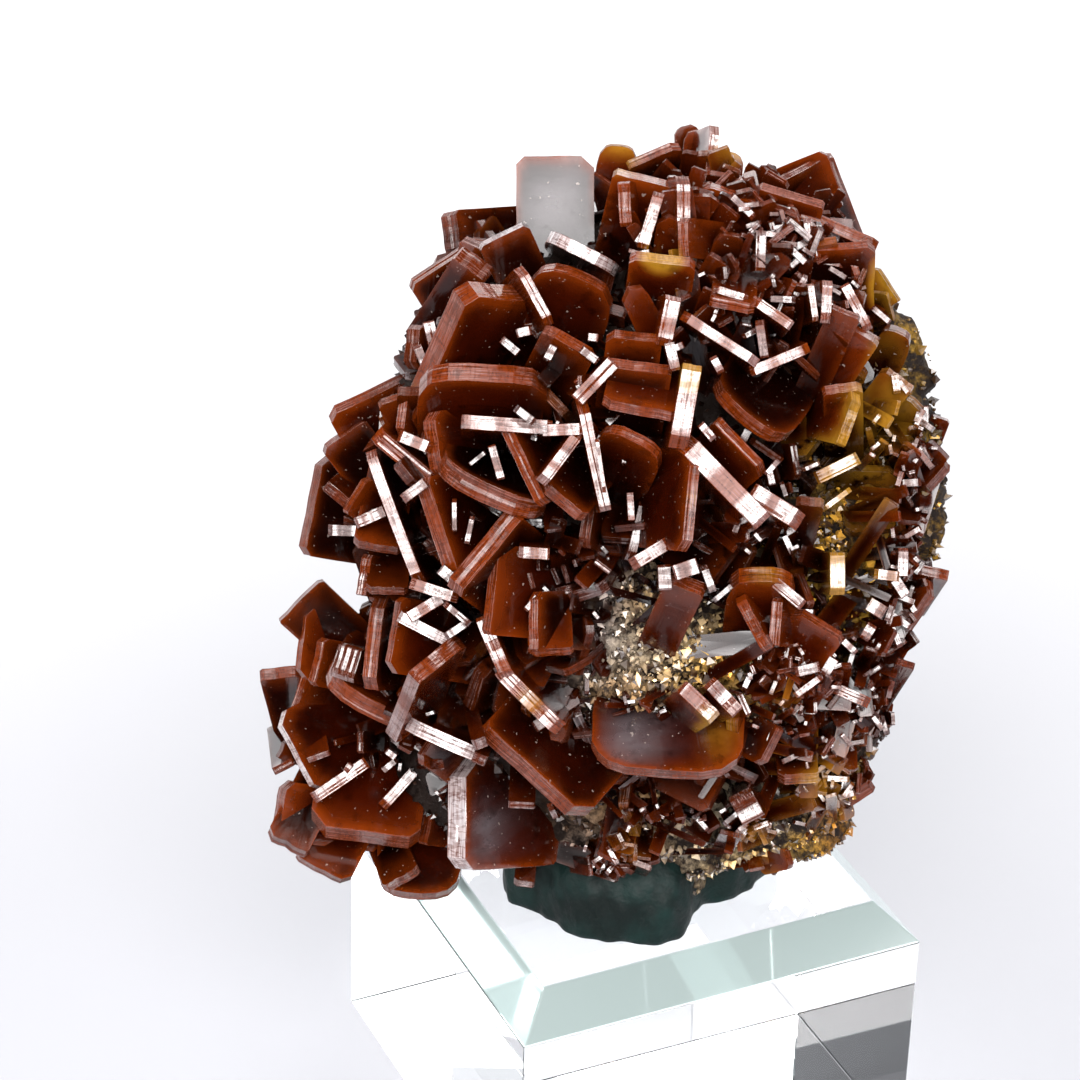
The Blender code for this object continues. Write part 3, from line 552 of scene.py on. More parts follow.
# Crystals of the shown face, in mm and degrees as the viewer sees them: right and up of the rim's middle,
# the rim's slope, its length, depth from rim to root, thickness, turn (0 shows the rim edge-on, +90 or -90
# shows the broad face below or above it), pitch (the rim's lean away from the viewer), lift above the
# common level, and whether the outline is domed
SHOWN = [
    # upper left
    (0.3, 34.2, 2, 6.4, 9, 0.8, 98, 0, -1, 0), (-4.2, 27.2, 27, 4.4, 7, 1.4, 72, 0, -3, 0),
    (-8.9, 27.3, -80, 3.2, 4, 2.0, -50, 0, -5, 0), (-9.1, 24.8, 35, 7.6, 8, 1.2, 58, 0, -4, 0),
    (-6.6, 24.5, -35, 3.2, 5, 1.8, 40, 0, -1, 0), (-4.3, 22.1, 0, 6.8, 9, 2.2, 50, -35, 0, 0),
    (-1.1, 21.8, -60, 5.2, 7, 0.8, 12, 0, 0.5, 0), (2.8, 23.8, -20, 7.2, 8, 1.1, 48, 0, 0, 1),
    (3.0, 25.8, -25, 6.2, 7, 1.0, -38, 0, 1.5, 1),
    # crown
    (13.0, 37.0, 5, 3.0, 7, 1.0, 78, 0, -3, 1), (11.7, 37.3, 20, 2.9, 7, 0.9, 80, 0, -5.5, 1),
    (14.3, 34.6, -95, 5.2, 6, 0.8, 10, 0, -2, 0), (9.0, 34.7, 25, 4.6, 6, 0.8, -20, 0, -3, 0),
    (8.6, 32.5, -12, 5.6, 6, 1.2, 58, 0, 0, 0), (11.9, 30.2, -88, 4.8, 7, 1.1, 12, 0, 1, 0),
    (16.0, 35.1, -15, 3.0, 6, 1.0, 84, 0, -4, 1), (16.2, 31.5, -18, 5.2, 6, 1.0, 58, 0, 0, 0),
    (16.3, 27.8, -10, 3.0, 5, 0.9, 62, 0, 0, 1), (22.3, 33.9, 30, 5.6, 5, 0.7, 12, 0, -6, 0),
    (25.4, 33.4, -68, 4.6, 6, 0.9, 48, 0, -6, 0), (25.4, 28.7, -22, 7.6, 8, 1.0, -54, 0, 1, 0),
    (21.2, 31.5, -15, 6.2, 6, 1.0, 45, 0, 1, 0), (24.5, 26.9, 5, 8.2, 7, 0.9, 48, 0, 1, 0),
    (30.4, 23.8, -55, 3.4, 6, 1.0, 68, 0, -4, 0), (27.6, 21.6, -60, 4.2, 5, 0.8, 8, 0, 1, 0),
    (24.9, 22.0, -92, 3.4, 5, 0.8, 6, 0, 2, 0), (18.9, 26.4, -90, 3.2, 5, 0.8, 6, 0, 2, 0),
    (20.1, 20.9, -33, 3.8, 6, 0.8, 4, 0, 2.5, 0), (16.5, 21.4, -10, 3.6, 6, 0.9, -32, 0, 2, 0),
    (10.2, 25.4, -5, 5.2, 8, 1.1, 44, 0, 1, 0), (10.9, 19.9, -100, 4.0, 7, 1.2, 6, 0, 2, 0),
    (9.0, 28.8, -105, 4.6, 6, 0.9, 10, 0, 1, 0), (6.6, 30.2, -85, 3.6, 6, 1.0, -30, 0, 0, 0),
    (6.0, 35.4, -5, 3.4, 5, 1.0, 74, 0, -3, 1),
    # left
    (-12.0, 16.9, -95, 3.6, 6, 1.6, -48, 0, -3, 0), (-10.1, 17.6, -75, 3.0, 5, 0.9, 4, 0, -1, 0),
    (-15.3, 12.8, 27, 8.4, 9, 1.1, 48, 0, -4, 0), (-17.9, 9.0, 38, 4.4, 9, 1.1, 64, 0, -2, 0),
    (-20.5, 2.8, 81, 9.0, 10, 1.4, 58, 0, -4, 0), (-13.1, 1.6, -67.7, 11.4, 10, 0.9, -7, 0, 1.5, 0),
    (-15.0, 1.7, 25, 3.0, 6, 0.9, -8, 0, 0.5, 0), (-12.4, 6.9, -38, 6.0, 7, 1.3, -15, 0, 1, 0),
    (-12.7, 10.9, -95, 3.6, 6, 0.8, -28, 0, 0, 0), (-14.5, -1.2, -8, 4.0, 6, 1.0, -52, 0, 0.5, 0),
    (-15.6, -3.6, 83, 3.4, 6, 0.9, 4, 0, 0.5, 0), (-13.5, -5.0, 0, 3.4, 6, 0.8, -58, 0, 0, 0),
    (-21.3, -5.9, 48, 5.2, 8, 1.3, 58, 0, -3, 0), (-21.1, -9.9, 86, 6.2, 8, 1.0, 42, 0, -2, 0),
    (-22.8, -12.5, 8, 3.6, 7, 1.1, 42, 0, -4, 0), (-19.6, -11.4, 79, 4.2, 8, 1.0, 46, 0, 0, 0),
    (-17.0, -11.4, 75, 3.0, 7, 2.2, 4, 0, 0.5, 0), (-14.6, -9.5, -95, 8.0, 8, 1.2, 38, 0, 0, 0),
    (-12.9, -8.8, 82, 6.2, 8, 0.9, 56, 0, 1.5, 0), (-9.3, -4.8, -16, 4.0, 7, 0.9, 0, 0, 2.5, 0),
    (-10.0, -6.3, 33, 3.2, 6, 0.9, 0, 0, 2.5, 0), (-9.8, -8.4, -25, 5.2, 7, 0.9, 38, 0, 1, 0),
    # middle
    (-5.3, 14.8, -1, 10.8, 8, 1.7, 42, 0, 1, 1), (-3.3, 10.2, -2, 7.2, 8, 1.1, 6, 0, 2.5, 0),
    (1.9, 9.9, 4, 3.4, 6, 0.9, 0, 0, 3, 0), (1.7, 7.5, 55, 5.2, 7, 0.9, -8, 0, 3, 0),
    (-1.7, 6.6, -63, 7.0, 8, 1.0, -24, 0, 1.5, 0), (-4.8, 3.9, -23, 9.4, 9, 1.7, -20, 0, 1.5, 1),
    (-9.9, 8.2, -80, 5.2, 7, 1.4, -44, 0, 0.5, 0), (2.2, 17.8, -28, 4.6, 7, 1.0, 38, 0, 0.5, 0),
    (4.5, 14.3, 48, 4.2, 7, 1.1, -5, 0, 2.5, 0), (8.8, 11.7, -9, 6.4, 9, 0.9, -42, 0, 2.5, 0),
    (8.1, 15.8, -5, 5.6, 8, 1.0, 38, 0, 1.5, 0), (7.9, 18.5, -5, 4.4, 6, 1.1, 56, 0, 0.5, 0),
    (12.6, 12.3, -98, 6.6, 9, 1.5, 3, 0, 3.5, 0), (13.4, 3.9, -94, 8.0, 8, 0.9, 24, 0, 3.5, 0),
    (16.2, 5.7, -44, 8.8, 10, 1.6, 5, 0, 3.5, 0), (17.7, 9.0, -44, 5.6, 8, 0.9, 28, 0, 2, 0),
    (17.8, 11.4, -38, 7.6, 11, 1.1, -72, 0, 0.5, 1), (27.3, 11.5, 72, 4.4, 7, 0.9, -24, 0, 1.5, 0),
    (26.5, 14.4, 10, 3.2, 5, 0.9, 38, 0, 0.5, 0), (20.9, 16.7, 24, 5.0, 7, 0.8, -5, 0, 2, 0),
    (15.5, 18.4, -31, 7.0, 7, 0.8, 3, 0, 2, 0), (4.5, 7.8, -76, 9.0, 8, 0.9, 3, 0, 2.5, 0),
    (8.3, 9.4, -25, 5.6, 7, 0.9, 34, 0, 2, 1), (1.9, 3.4, -38, 4.2, 7, 1.0, -34, 0, 1.5, 0),
    (-9.3, 0.8, -70, 8.0, 8, 1.4, -38, 0, 1.5, 0), (-5.0, -1.1, 52, 8.0, 9, 1.6, 24, 0, 2, 0),
    (-4.3, -4.5, 85, 7.2, 9, 1.1, 52, 0, 1.5, 0), (1.3, -10.0, 5, 3.6, 8, 1.0, -52, 0, 1, 0),
    (-0.4, -7.3, -88, 4.8, 7, 0.9, -38, 0, 1, 0), (-3.8, -9.7, -65, 5.4, 8, 1.1, -10, 0, 2, 0),
    (-0.5, -14.3, -43, 6.8, 9, 1.3, 5, 0, 3, 0), (-8.7, -10.7, 41, 5.4, 9, 1.3, 14, -25, 3, 0),
    # right
    (28.3, 19.3, -30, 2.9, 5, 1.0, 58, 0, 1, 0), (31.4, 19.7, -20, 3.0, 5, 1.2, 58, 0, -3, 1),
    (31.5, 15.4, -35, 3.0, 5, 1.1, 58, 0, -1, 0), (33.4, 13.0, -45, 3.4, 5, 1.3, 62, 0, -3, 1),
    (35.2, 6.4, 50, 3.4, 6, 1.1, -48, 0, -4, 0), (26.3, 7.2, 28, 3.8, 6, 1.0, 0, 0, 2, 0),
    (21.0, 3.6, -30, 4.6, 7, 1.5, 5, 0, 2.5, 0), (26.6, -2.2, -88, 3.4, 7, 1.2, 2, 0, 3, 0),
    (22.3, -4.1, -38, 3.0, 6, 0.9, 2, 0, 3, 0), (34.6, -1.7, -10, 3.6, 6, 0.9, 20, 0, -4, 0),
    (33.7, -5.9, 58, 6.4, 8, 1.2, -46, 0, -3, 0), (25.2, -6.6, -30, 4.6, 7, 0.9, 46, 0, 1.5, 0),
    (28.2, -13.0, -22, 3.2, 5, 0.9, 3, 0, 1.5, 0), (20.0, -2.4, 0, 5.6, 8, 1.4, 46, 0, 1.5, 1),
    (19.2, -6.9, -60, 4.8, 7, 0.9, -18, 0, 2, 0), (21.2, -6.6, -93, 4.0, 6, 0.9, -18, 0, 2, 0),
    (9.9, -0.9, 33, 3.6, 6, 1.0, 2, 0, 2, 0), (13.2, -3.4, -20, 3.2, 6, 1.2, 46, 0, 2.5, 0),
    # lower middle and lower right
    (14.6, -14.0, -42, 3.8, 8, 1.2, 14, 0, 2.5, 0), (16.8, -13.5, -45, 3.4, 7, 1.2, 10, 0, 2, 0),
    (11.8, -20.6, -2, 12.4, 10, 1.3, -56, 0, 3, 1), (21.2, -17.8, 65, 3.6, 6, 1.0, -46, 0, 1, 0),
    (22.6, -26.4, -70, 4.4, 5, 0.9, 52, 0, 0, 0), (28.4, -22.3, 35, 4.8, 7, 1.4, -34, 0, -1, 0),
    (23.7, -20.6, 5, 3.4, 6, 1.0, -30, 0, 1, 0),
    (-0.2, -21.0, -41, 11.2, 10, 1.7, -48, 0, 3, 0), (-6.7, -24.7, 91, 9.4, 11, 2.3, 46, 0, 2, 0),
    (-7.8, -18.2, -22, 7.0, 9, 1.2, 28, 0, 2, 0), (-9.2, -24.6, 80, 5.6, 8, 1.0, 38, 0, 0, 0),
    # lower left
    (-21.2, -19.9, -60, 7.8, 10, 1.0, -10, 0, 0, 0), (-22.6, -24.7, 82, 5.2, 10, 1.8, 33, 0, -2, 0),
    (-21.8, -28.0, -24, 4.0, 9, 1.8, -28, 0, -1, 0), (-14.9, -27.0, -6, 9.6, 11, 2.4, -20, 0, 1, 0),
    (-18.6, -30.2, -25, 5.2, 9, 1.4, -24, 0, -2, 0), (-11.3, -30.7, 30, 3.4, 7, 0.9, 0, 0, 0, 0),
    (-10.0, -32.1, -2, 7.6, 10, 1.5, -32, 0, -2, 1), (-11.9, -22.5, 50, 4.4, 8, 0.9, 0, 0, 2, 0),
    (-17.2, -22.0, 36, 5.6, 8, 1.0, 8, 0, 2, 0), (-14.4, -15.6, -25, 10.2, 11, 1.6, 52, 0, 0, 1),
    (-21.2, -14.5, 75, 3.6, 7, 1.2, 38, 0, -2, 0),
]

# Small crystals of the shown face, in the same order
SMALL_SHOWN = [
    # crown
    (13.3, 31.2, 0, 1.8, 4, 0.6, 60, 0, 0, 0), (10.7, 29.3, 0, 2.6, 5, 0.8, 60, 0, 0, 1),
    (11.9, 27.3, -87, 3.2, 5, 0.9, -30, 0, 1, 0), (27.1, 26.1, -83, 2.2, 3, 0.7, 0, 0, 2, 0),
    (23.7, 21.9, -80, 3.0, 4, 0.5, 5, 0, 2, 0), (21.0, 22.1, 0, 2.0, 4, 0.5, 0, 0, 3, 0),
    (16.3, 22.5, -15, 2.8, 5, 0.6, 10, 0, 2, 0), (7.3, 22.8, 30, 2.5, 5, 0.8, 60, 0, 1, 1),
    # left
    (-11.0, 15.9, -65, 2.2, 3, 0.7, 0, 0, -1, 0), (-18.2, 3.4, -38, 2.6, 3, 0.9, 10, 0, 1, 0),
    (-12.3, 5.5, -50, 2.2, 3, 0.9, -30, 0, 2, 0), (-11.4, 8.4, -20, 2.8, 4, 0.9, 0, 0, 2, 0),
    (-11.3, 4.1, 38, 2.4, 4, 0.8, 0, 0, 3, 0), (-13.5, 12.3, 20, 2.6, 4, 0.8, 50, 0, 0, 0),
    (-12.0, 13.0, 0, 2.0, 4, 1.0, 60, 0, 0, 0), (-16.6, 3.6, 60, 3.5, 4, 0.8, 50, 0, 0, 0),
    (-17.6, 0.3, 0, 2.4, 4, 0.9, 0, 0, 2, 0), (-7.2, -6.8, -38, 2.6, 4, 0.5, 0, 0, 3, 0),
    (-7.2, -8.2, 35, 2.2, 4, 0.6, 0, 0, 3, 0),
    # middle
    (-4.1, 6.8, -72, 2.8, 4, 0.6, 0, 0, 2, 0), (-5.8, 7.1, 40, 1.6, 3, 0.3, 0, 0, 2, 0),
    (-1.7, 11.1, -35, 1.9, 3, 0.6, 0, 0, 4, 0), (-3.2, 17.2, -38, 1.7, 4, 0.6, 0, 0, 1, 0),
    (-2.0, 18.5, 15, 1.2, 3, 0.7, 0, 0, 1, 0), (0.4, 16.7, 65, 1.3, 3, 0.6, 0, 0, 1, 0),
    (3.9, 16.6, -35, 1.7, 3, 0.6, 0, 0, 2, 0), (4.2, 18.2, -5, 0.8, 2, 0.6, 0, 0, 2, 0),
    (11.3, 16.7, -75, 2.2, 4, 0.8, 0, 0, 3, 0), (11.6, 17.5, 25, 1.3, 3, 0.5, 0, 0, 3, 0),
    (14.6, 10.1, -48, 1.6, 3, 0.6, 0, 0, 4, 0), (15.3, 16.1, -60, 1.4, 3, 0.6, 0, 0, 3, 0),
    (19.2, 18.5, -80, 3.0, 4, 0.7, -20, 0, 2, 0), (5.2, 6.8, -80, 4.2, 5, 0.3, 0, 0, 3.5, 0),
    (8.0, 3.2, -85, 2.2, 4, 0.5, 0, 0, 3, 0), (-7.7, 2.0, -88, 2.6, 5, 0.35, 0, 0, 3, 0),
    (-6.3, 0.7, 80, 2.2, 4, 0.4, 0, 0, 2, 0), (-0.5, -1.2, -2, 2.4, 5, 0.9, 0, 0, 3, 0),
    (-0.9, -23.7, 0, 2.2, 5, 0.6, 0, 0, 4, 0), (1.8, -24.1, -65, 1.4, 3, 0.5, 0, 0, 4, 0),
    (-4.8, -18.3, 20, 1.2, 3, 0.9, 0, 0, 4, 0), (-4.8, -19.7, -20, 1.2, 3, 0.9, 0, 0, 4, 0),
    (-0.5, -30.7, -5, 1.8, 4, 0.8, 0, 0, 2, 0), (-8.2, -3.3, -38, 1.4, 3, 0.9, 0, 0, 3, 0),
    # right
    (26.6, 21.2, -20, 2.6, 4, 0.8, 70, 0, 2, 0), (31.3, 14.9, -80, 1.6, 3, 0.6, 0, 0, 0, 0),
    (35.4, 9.2, -45, 2.2, 4, 0.8, 60, 0, -2, 0), (32.9, 6.1, 5, 1.7, 3, 0.6, 0, 0, 1, 0),
    (24.0, 7.3, 25, 1.4, 3, 0.3, 0, 0, 3, 0), (26.3, 4.4, 38, 2.8, 4, 0.4, 0, 0, 3, 0),
    (20.5, 7.1, 50, 1.5, 3, 0.4, 0, 0, 4, 0), (20.4, 6.2, -75, 1.2, 3, 0.5, 0, 0, 4, 0),
    (24.0, 4.2, -5, 2.2, 4, 0.8, 50, 0, 3, 0), (30.2, -5.2, -30, 1.5, 3, 1.1, 0, 0, 3, 0),
    (29.5, -7.3, 60, 1.4, 3, 0.8, 0, 0, 3, 0), (31.0, -2.2, -5, 2.0, 4, 0.8, 0, 0, 3, 0),
    (32.2, -3.2, -55, 1.8, 3, 0.8, 0, 0, 3, 0), (32.4, -1.0, -90, 2.3, 4, 0.8, 0, 0, 3, 0),
    (31.5, -8.2, 65, 2.3, 4, 0.4, -30, 0, 2, 0), (32.9, -10.0, -15, 1.6, 3, 0.6, 45, 0, 0, 0),
    (27.8, -8.6, -42, 1.7, 3, 0.5, 0, 0, 3, 0), (26.1, -10.5, 60, 1.6, 3, 0.8, 0, 0, 3, 0),
    (24.2, -10.8, 15, 2.0, 3, 0.8, 0, 0, 3, 0), (24.3, -12.3, 38, 2.6, 4, 0.5, 0, 0, 3, 0),
    # lower right
    (11.2, -3.0, -85, 2.0, 4, 1.0, 0, 0, 3, 0), (13.1, -2.2, 20, 2.0, 5, 1.2, 0, 0, 4, 0),
    (15.1, -3.0, -68, 2.2, 4, 0.6, 0, 0, 3, 0), (16.5, -4.2, 42, 2.0, 4, 0.4, 0, 0, 3, 0),
    (19.1, -23.2, -60, 2.6, 4, 2.0, 0, 0, 3, 0), (9.5, -30.2, -88, 1.4, 3, 0.4, 0, 0, 2, 0),
    (28.0, -21.9, 20, 1.5, 3, 0.5, 0, 0, 3, 0),
    # lower left
    (-22.2, -20.9, 28, 2.0, 4, 0.7, 0, 0, -1, 0), (-22.6, -19.3, 70, 1.6, 3, 0.8, 40, 0, -2, 0),
    (-15.5, -18.5, -88, 1.9, 4, 0.6, 0, 0, 2, 0), (-19.1, -19.9, 22, 2.0, 4, 0.5, 0, 0, 2, 0),
    (-16.5, -20.8, 55, 0.9, 3, 0.5, 0, 0, 2, 0), (-12.7, -19.5, -35, 1.0, 3, 0.5, 0, 0, 3, 0),
    (-12.8, -20.5, 42, 1.5, 3, 0.5, 0, 0, 3, 0),
]

# Where small crystals crowd in front: right, up, half width, half height, count, least and most length, lift
CROWDS = [
    (12.5, 33.0, 5.0, 3.5, 60, 0.7, 2.6, -0.5), (19.0, 32.0, 5.0, 3.5, 60, 0.7, 2.6, -0.5),
    (25.0, 29.0, 3.0, 4.0, 40, 0.7, 2.6, -0.5), (27.5, 22.0, 3.0, 5.0, 50, 0.6, 2.4, -0.3),
    (18.0, 22.5, 7.0, 4.0, 60, 0.6, 2.2, -0.5), (7.5, 28.5, 3.0, 4.0, 30, 0.7, 2.2, -0.5),
    (33.5, 10.0, 1.6, 4.0, 40, 0.6, 2.2, -0.5), (34.0, 1.5, 1.6, 4.0, 40, 0.6, 2.2, -0.8),
    (32.5, -6.0, 2.0, 4.5, 60, 0.6, 2.4, -0.8), (30.0, -14.5, 2.6, 4.5, 90, 0.5, 2.0, -0.8),
    (23.0, -11.0, 4.5, 4.0, 90, 0.6, 2.4, -0.5), (25.5, -20.5, 3.5, 3.5, 60, 0.6, 2.2, -0.8),
    (19.0, -25.5, 4.0, 2.6, 40, 0.5, 2.0, -1.5), (7.5, -28.5, 3.0, 2.2, 90, 0.6, 2.2, -1.0),
    (19.0, 3.0, 6.0, 4.0, 30, 0.6, 2.0, -0.8), (2.0, -2.5, 4.0, 4.0, 30, 0.6, 1.8, -1.8),
    (-12.5, -19.0, 6.0, 4.0, 24, 0.5, 1.6, -0.5), (4.0, 11.0, 6.0, 5.0, 24, 0.5, 1.5, -0.5),
    (21.0, -28.5, 1.8, 1.4, 16, 0.7, 2.0, -1.0), (12.0, -24.0, 4.0, 0.8, 30, 0.4, 1.2, -2.5),
    (11.0, -14.2, 3.5, 0.8, 30, 0.4, 1.2, -2.0), (13.5, 33.5, 6.0, 3.0, 60, 0.5, 1.6, 1.0),
    (22.0, 27.0, 5.0, 5.0, 60, 0.5, 1.6, 1.0), (23.0, -12.0, 4.0, 4.5, 60, 0.4, 1.4, 0.5),
    (13.0, 32.0, 5.0, 4.0, 26, 1.4, 3.8, 0.8), (22.0, 28.0, 5.0, 5.0, 34, 1.4, 3.8, 0.8),
    (31.0, 8.0, 2.4, 8.0, 40, 0.5, 1.6, 0.2), (27.0, -19.5, 3.5, 3.0, 40, 0.5, 1.8, 0.3),
    (15.0, 34.5, 7.0, 2.0, 50, 0.8, 2.6, 0.8), (25.0, 31.0, 3.0, 3.5, 40, 0.8, 2.6, 0.6),
]

# Plates and bare rock that nothing small grows over: right, up, half width, half height
CLEAR_PLACES = [
    (0.6, 30.4, 3.0, 4.6), (11.6, -18.2, 5.6, 2.8), (17.5, 14.5, 4.0, 3.2), (-2.5, -23.5, 3.0, 4.5),
    (-5.0, 12.6, 5.0, 2.0), (12.0, -9.5, 6.4, 5.2), (27.4, 2.0, 2.8, 8.5), (29.8, 17.0, 1.4, 2.8),
    (22.5, -23.4, 2.0, 1.4),
]

# Where the crystals glow amber or orange: right, up, spread in mm, and how strongly
AMBER_PLACES = [
    (10.2, 25.4, 2.2, 1.3), (16.0, 35.1, 2.0, 1.0), (30.4, 23.8, 3.0, 1.2), (12.8, 15.0, 1.6, 1.2),
    (15.6, -17.0, 2.8, 1.3), (-0.2, -21.0, 3.5, 0.2), (-4.3, 22.1, 2.5, 0.45), (30.5, 17.5, 3.0, 0.9),
    (6.0, 34.7, 2.5, 0.9), (28.0, 5.0, 4.5, 1.3), (-12.0, 13.0, 2.0, 0.5), (-0.5, -14.3, 2.5, 0.6),
    (20.0, -2.4, 3.0, 0.6), (24.0, 4.2, 2.0, 0.6), (4.5, 7.8, 2.0, 0.5), (13.4, 3.9, 2.0, 0.5),
    (21.2, -29.8, 2.5, 0.8), (30.0, 12.0, 4.5, 1.3), (26.5, 8.5, 3.5, 1.1), (28.0, -2.0, 4.0, 1.3),
    (26.0, -21.0, 3.5, 1.0), (20.5, -26.5, 3.0, 1.0), (9.0, -27.0, 3.0, 0.8), (22.0, -13.5, 2.5, 0.8),
]

# Crystals whose rims shine although they are turned: right and up of the rim
# the rims of these crystals carry the painted white highlight in full
SHINING_PLACES = [(-6.7, -24.7), (3.0, 25.8), (-4.2, 27.2), (-21.2, -19.9), (-9.8, -8.4), (-7.8, -18.2)]

# Crystals whose broad faces are glossy and carry a painted grey sheen: right and up of the rim, how strongly,
# and right, up and spread of where the face is glossiest and the painted sheen strongest
GLOSS_PLACES = [
    (0.3, 34.2, 1.0, 0.8, 29.0, 5.0), (11.8, -20.6, 0.9, 7.8, -17.6, 3.6),
    (-6.7, -24.7, 0.9, -4.6, -26.0, 2.8), (3.0, 25.8, 0.4, 3.0, 25.8, 4.0),
    (17.8, 11.4, 0.2, 17.8, 14.0, 4.0), (25.4, 28.7, 0.4, 25.4, 30.0, 4.0),
]

# How far in mm a place in these lists may lie from the rim that it means, and the turn up to which a rim
# is seen edge-on, in degrees
SAME_RIM = 0.6
EDGE_ON = 16

# How brightly rims shine at a shining place, edge-on and turned away, and how glossy other faces are
# shine also sets how much painted white highlight a rim carries
SHINING, BRIGHT, DIM, FAINT_GLOSS = 1.6, 1.0, 0.22, 0.04


def tablet_row(row: tuple) -> tuple:
    """One crystal's rim, frame, sizes and looks from its place and angles as the viewer sees it.

    The rim runs along its slope. The crystal stands out of the rock at its turn from the line of sight, and
    leans outward until its root meets the rock. Its reach goes 1.6 to 3 mm into the rock. A rim seen edge-on
    or at a shining place shines, through its coat and a painted white highlight, and the faces of a crystal
    listed in GLOSS_PLACES are glossy and carry a painted grey sheen.

    Args:
        row: right, up, slope, length, reach, thickness, turn, pitch, lift and domed.

    Returns:
        Rim, along, out, length, reach, thickness, domed, amber, shine and gloss.
    """
    right, up, slope, length, reach, thick, turn, pitch, lift, domed = row
    rim = LUMP.rim_place(right, up, lift)
    a, p, t = math.radians(slope), math.radians(pitch), math.radians(turn)
    along = math.cos(p) * (math.cos(a) * VIEW.right + math.sin(a) * VIEW.up) + math.sin(p) * VIEW.toward
    side = -math.sin(a) * VIEW.right + math.cos(a) * VIEW.up
    straight = math.cos(t) * unit(VIEW.toward - np.dot(VIEW.toward, along) * along) + math.sin(t) * side
    radial = unit(rim - LUMP.middle)
    for lean in (0.0, 0.2, 0.4, 0.6, 0.9, 1.3):
        out = unit(straight + lean * (radial - np.dot(radial, along) * along))
        depth = LUMP.root_depth(rim, out)
        if depth < LUMP.missed - 1.0:
            break
    along = unit(along)
    out = unit(out - np.dot(out, along) * along)

    def meant(x: float, y: float) -> bool:
        """Whether a place in the lists means this rim."""
        return math.hypot(x - right, y - up) < SAME_RIM

    turned = BRIGHT if abs(turn) <= EDGE_ON else DIM
    shine = SHINING if any(meant(*place) for place in SHINING_PLACES) else turned
    gloss_and_sheen = max([FAINT_GLOSS] + [amount for x, y, amount, *_ in GLOSS_PLACES if meant(x, y)])
    rooted = max(min(reach, depth + 3.0), depth + 1.6)
    return rim, along, out, length, rooted, thick, domed, 0.0, shine, gloss_and_sheen


def over_clear(points: np.ndarray) -> np.ndarray:
    """Which points the viewer sees over a place that nothing small grows over."""
    right, up, _ = VIEW.apparent(points).T
    return np.any([((right - x) / w) ** 2 + ((up - y) / h) ** 2 < 1.0 for x, y, w, h in CLEAR_PLACES], axis=0)


def crowd_rows(seed: int) -> Iterator[tuple]:
    """Small crystals of the crowds, at random turns, thinning out from each crowd's middle."""
    rng = np.random.default_rng(seed)
    for right, up, half_width, half_height, count, least, most, lift in CROWDS:
        for x, y, size, slope, turn, rise in zip(rng.normal(0, 0.55, count), rng.normal(0, 0.55, count),
                                                 rng.uniform(0, 1, count) ** 1.5, rng.uniform(-90, 90, count),
                                                 rng.normal(0, 48, count), rng.normal(0, 0.9, count)):
            length = least + (most - least) * size
            yield (right + x * half_width, up + y * half_height, slope, length, 2.0 + length,
                   0.16 + 0.15 * length, turn, 0, lift + rise, float(size > 0.9))


# Points farther than this behind the axis plane are on the side away from the viewer
SHOWN_SIDE = -8.0


def amber_at(points: np.ndarray) -> np.ndarray:
    """How strongly crystals glow at points of the shown side: bell-shaped spots round the amber places."""
    seen = VIEW.apparent(points)
    glow = np.zeros(len(points))
    for right, up, spread, strength in AMBER_PLACES:
        distance = np.hypot(seen[:, 0] - right, seen[:, 1] - up)
        glow = np.maximum(glow, strength * np.exp(-(distance / spread) ** 2))
    return np.where(seen[:, 2] > SHOWN_SIDE, glow, 0.0)


def gleam_at(points: np.ndarray) -> np.ndarray:
    """How much of its coat and painted sheen a face shows at points: bell-shaped spots over a faint ground.
    """
    seen = VIEW.apparent(points)
    bells = [np.exp(-((seen[:, 0] - right) ** 2 + (seen[:, 1] - up) ** 2) / spread ** 2)
             for _, _, _, right, up, spread in GLOSS_PLACES]
    return 0.3 + 0.7 * np.max(bells, axis=0)


def back_rows() -> Iterator[tuple]:
    """The larger crystals of the sides and the back, spread evenly over the directions with a fixed seed."""
    places = 190
    rng = np.random.default_rng(11)
    golden = math.pi * (3.0 - math.sqrt(5.0))
    half = np.array(LUMP.half)
    for i in range(places):
        height = 1.0 - 2.0 * (i + 0.5) / places
        ring = math.sqrt(1.0 - height * height)
        even = np.array([math.cos(i * golden) * ring, math.sin(i * golden) * ring, height])
        d = unit(even + rng.normal(0.0, 0.07, 3))
        lean, roll = rng.normal(0.0, 0.35, 3), rng.normal(0.0, 1.0, 3)
        length, thick, rise = rng.uniform(5.5, 10.5), rng.uniform(1.1, 2.3), rng.uniform(3.6, 6.4)
        keep = rng.uniform()
        normal = unit(d / half)
        if np.dot(normal, VIEW.toward) > 0.02 or d[2] < -0.6 or keep < 0.1:
            continue
        radius = LUMP.radius(d[None, :])[0]
        out = unit(normal + lean)
        along = unit(np.cross(out, roll))
        domed = float(rng.uniform() < 0.25)
        for part in (1.0, 0.75, 0.5):
            rim = LUMP.middle + d * radius + out * rise * part
            ends = np.array([rim + sign * length * part / 2 * along for sign in (-1, 1)])
            if within_outline(ends).all():
                yield rim, along, out, length * part, rise * part + 3.0, thick, domed, 0.15, rise / 6.4, 0.1
                break


# Small crystals of the shown side stay this far under the common level of the rims, the sides start at this
# distance behind the axis plane, and no scattered rim is lower than this height
UNDER_RIMS, SIDES_START, LOWEST_RIM = 2.2, -4.0, 31.0


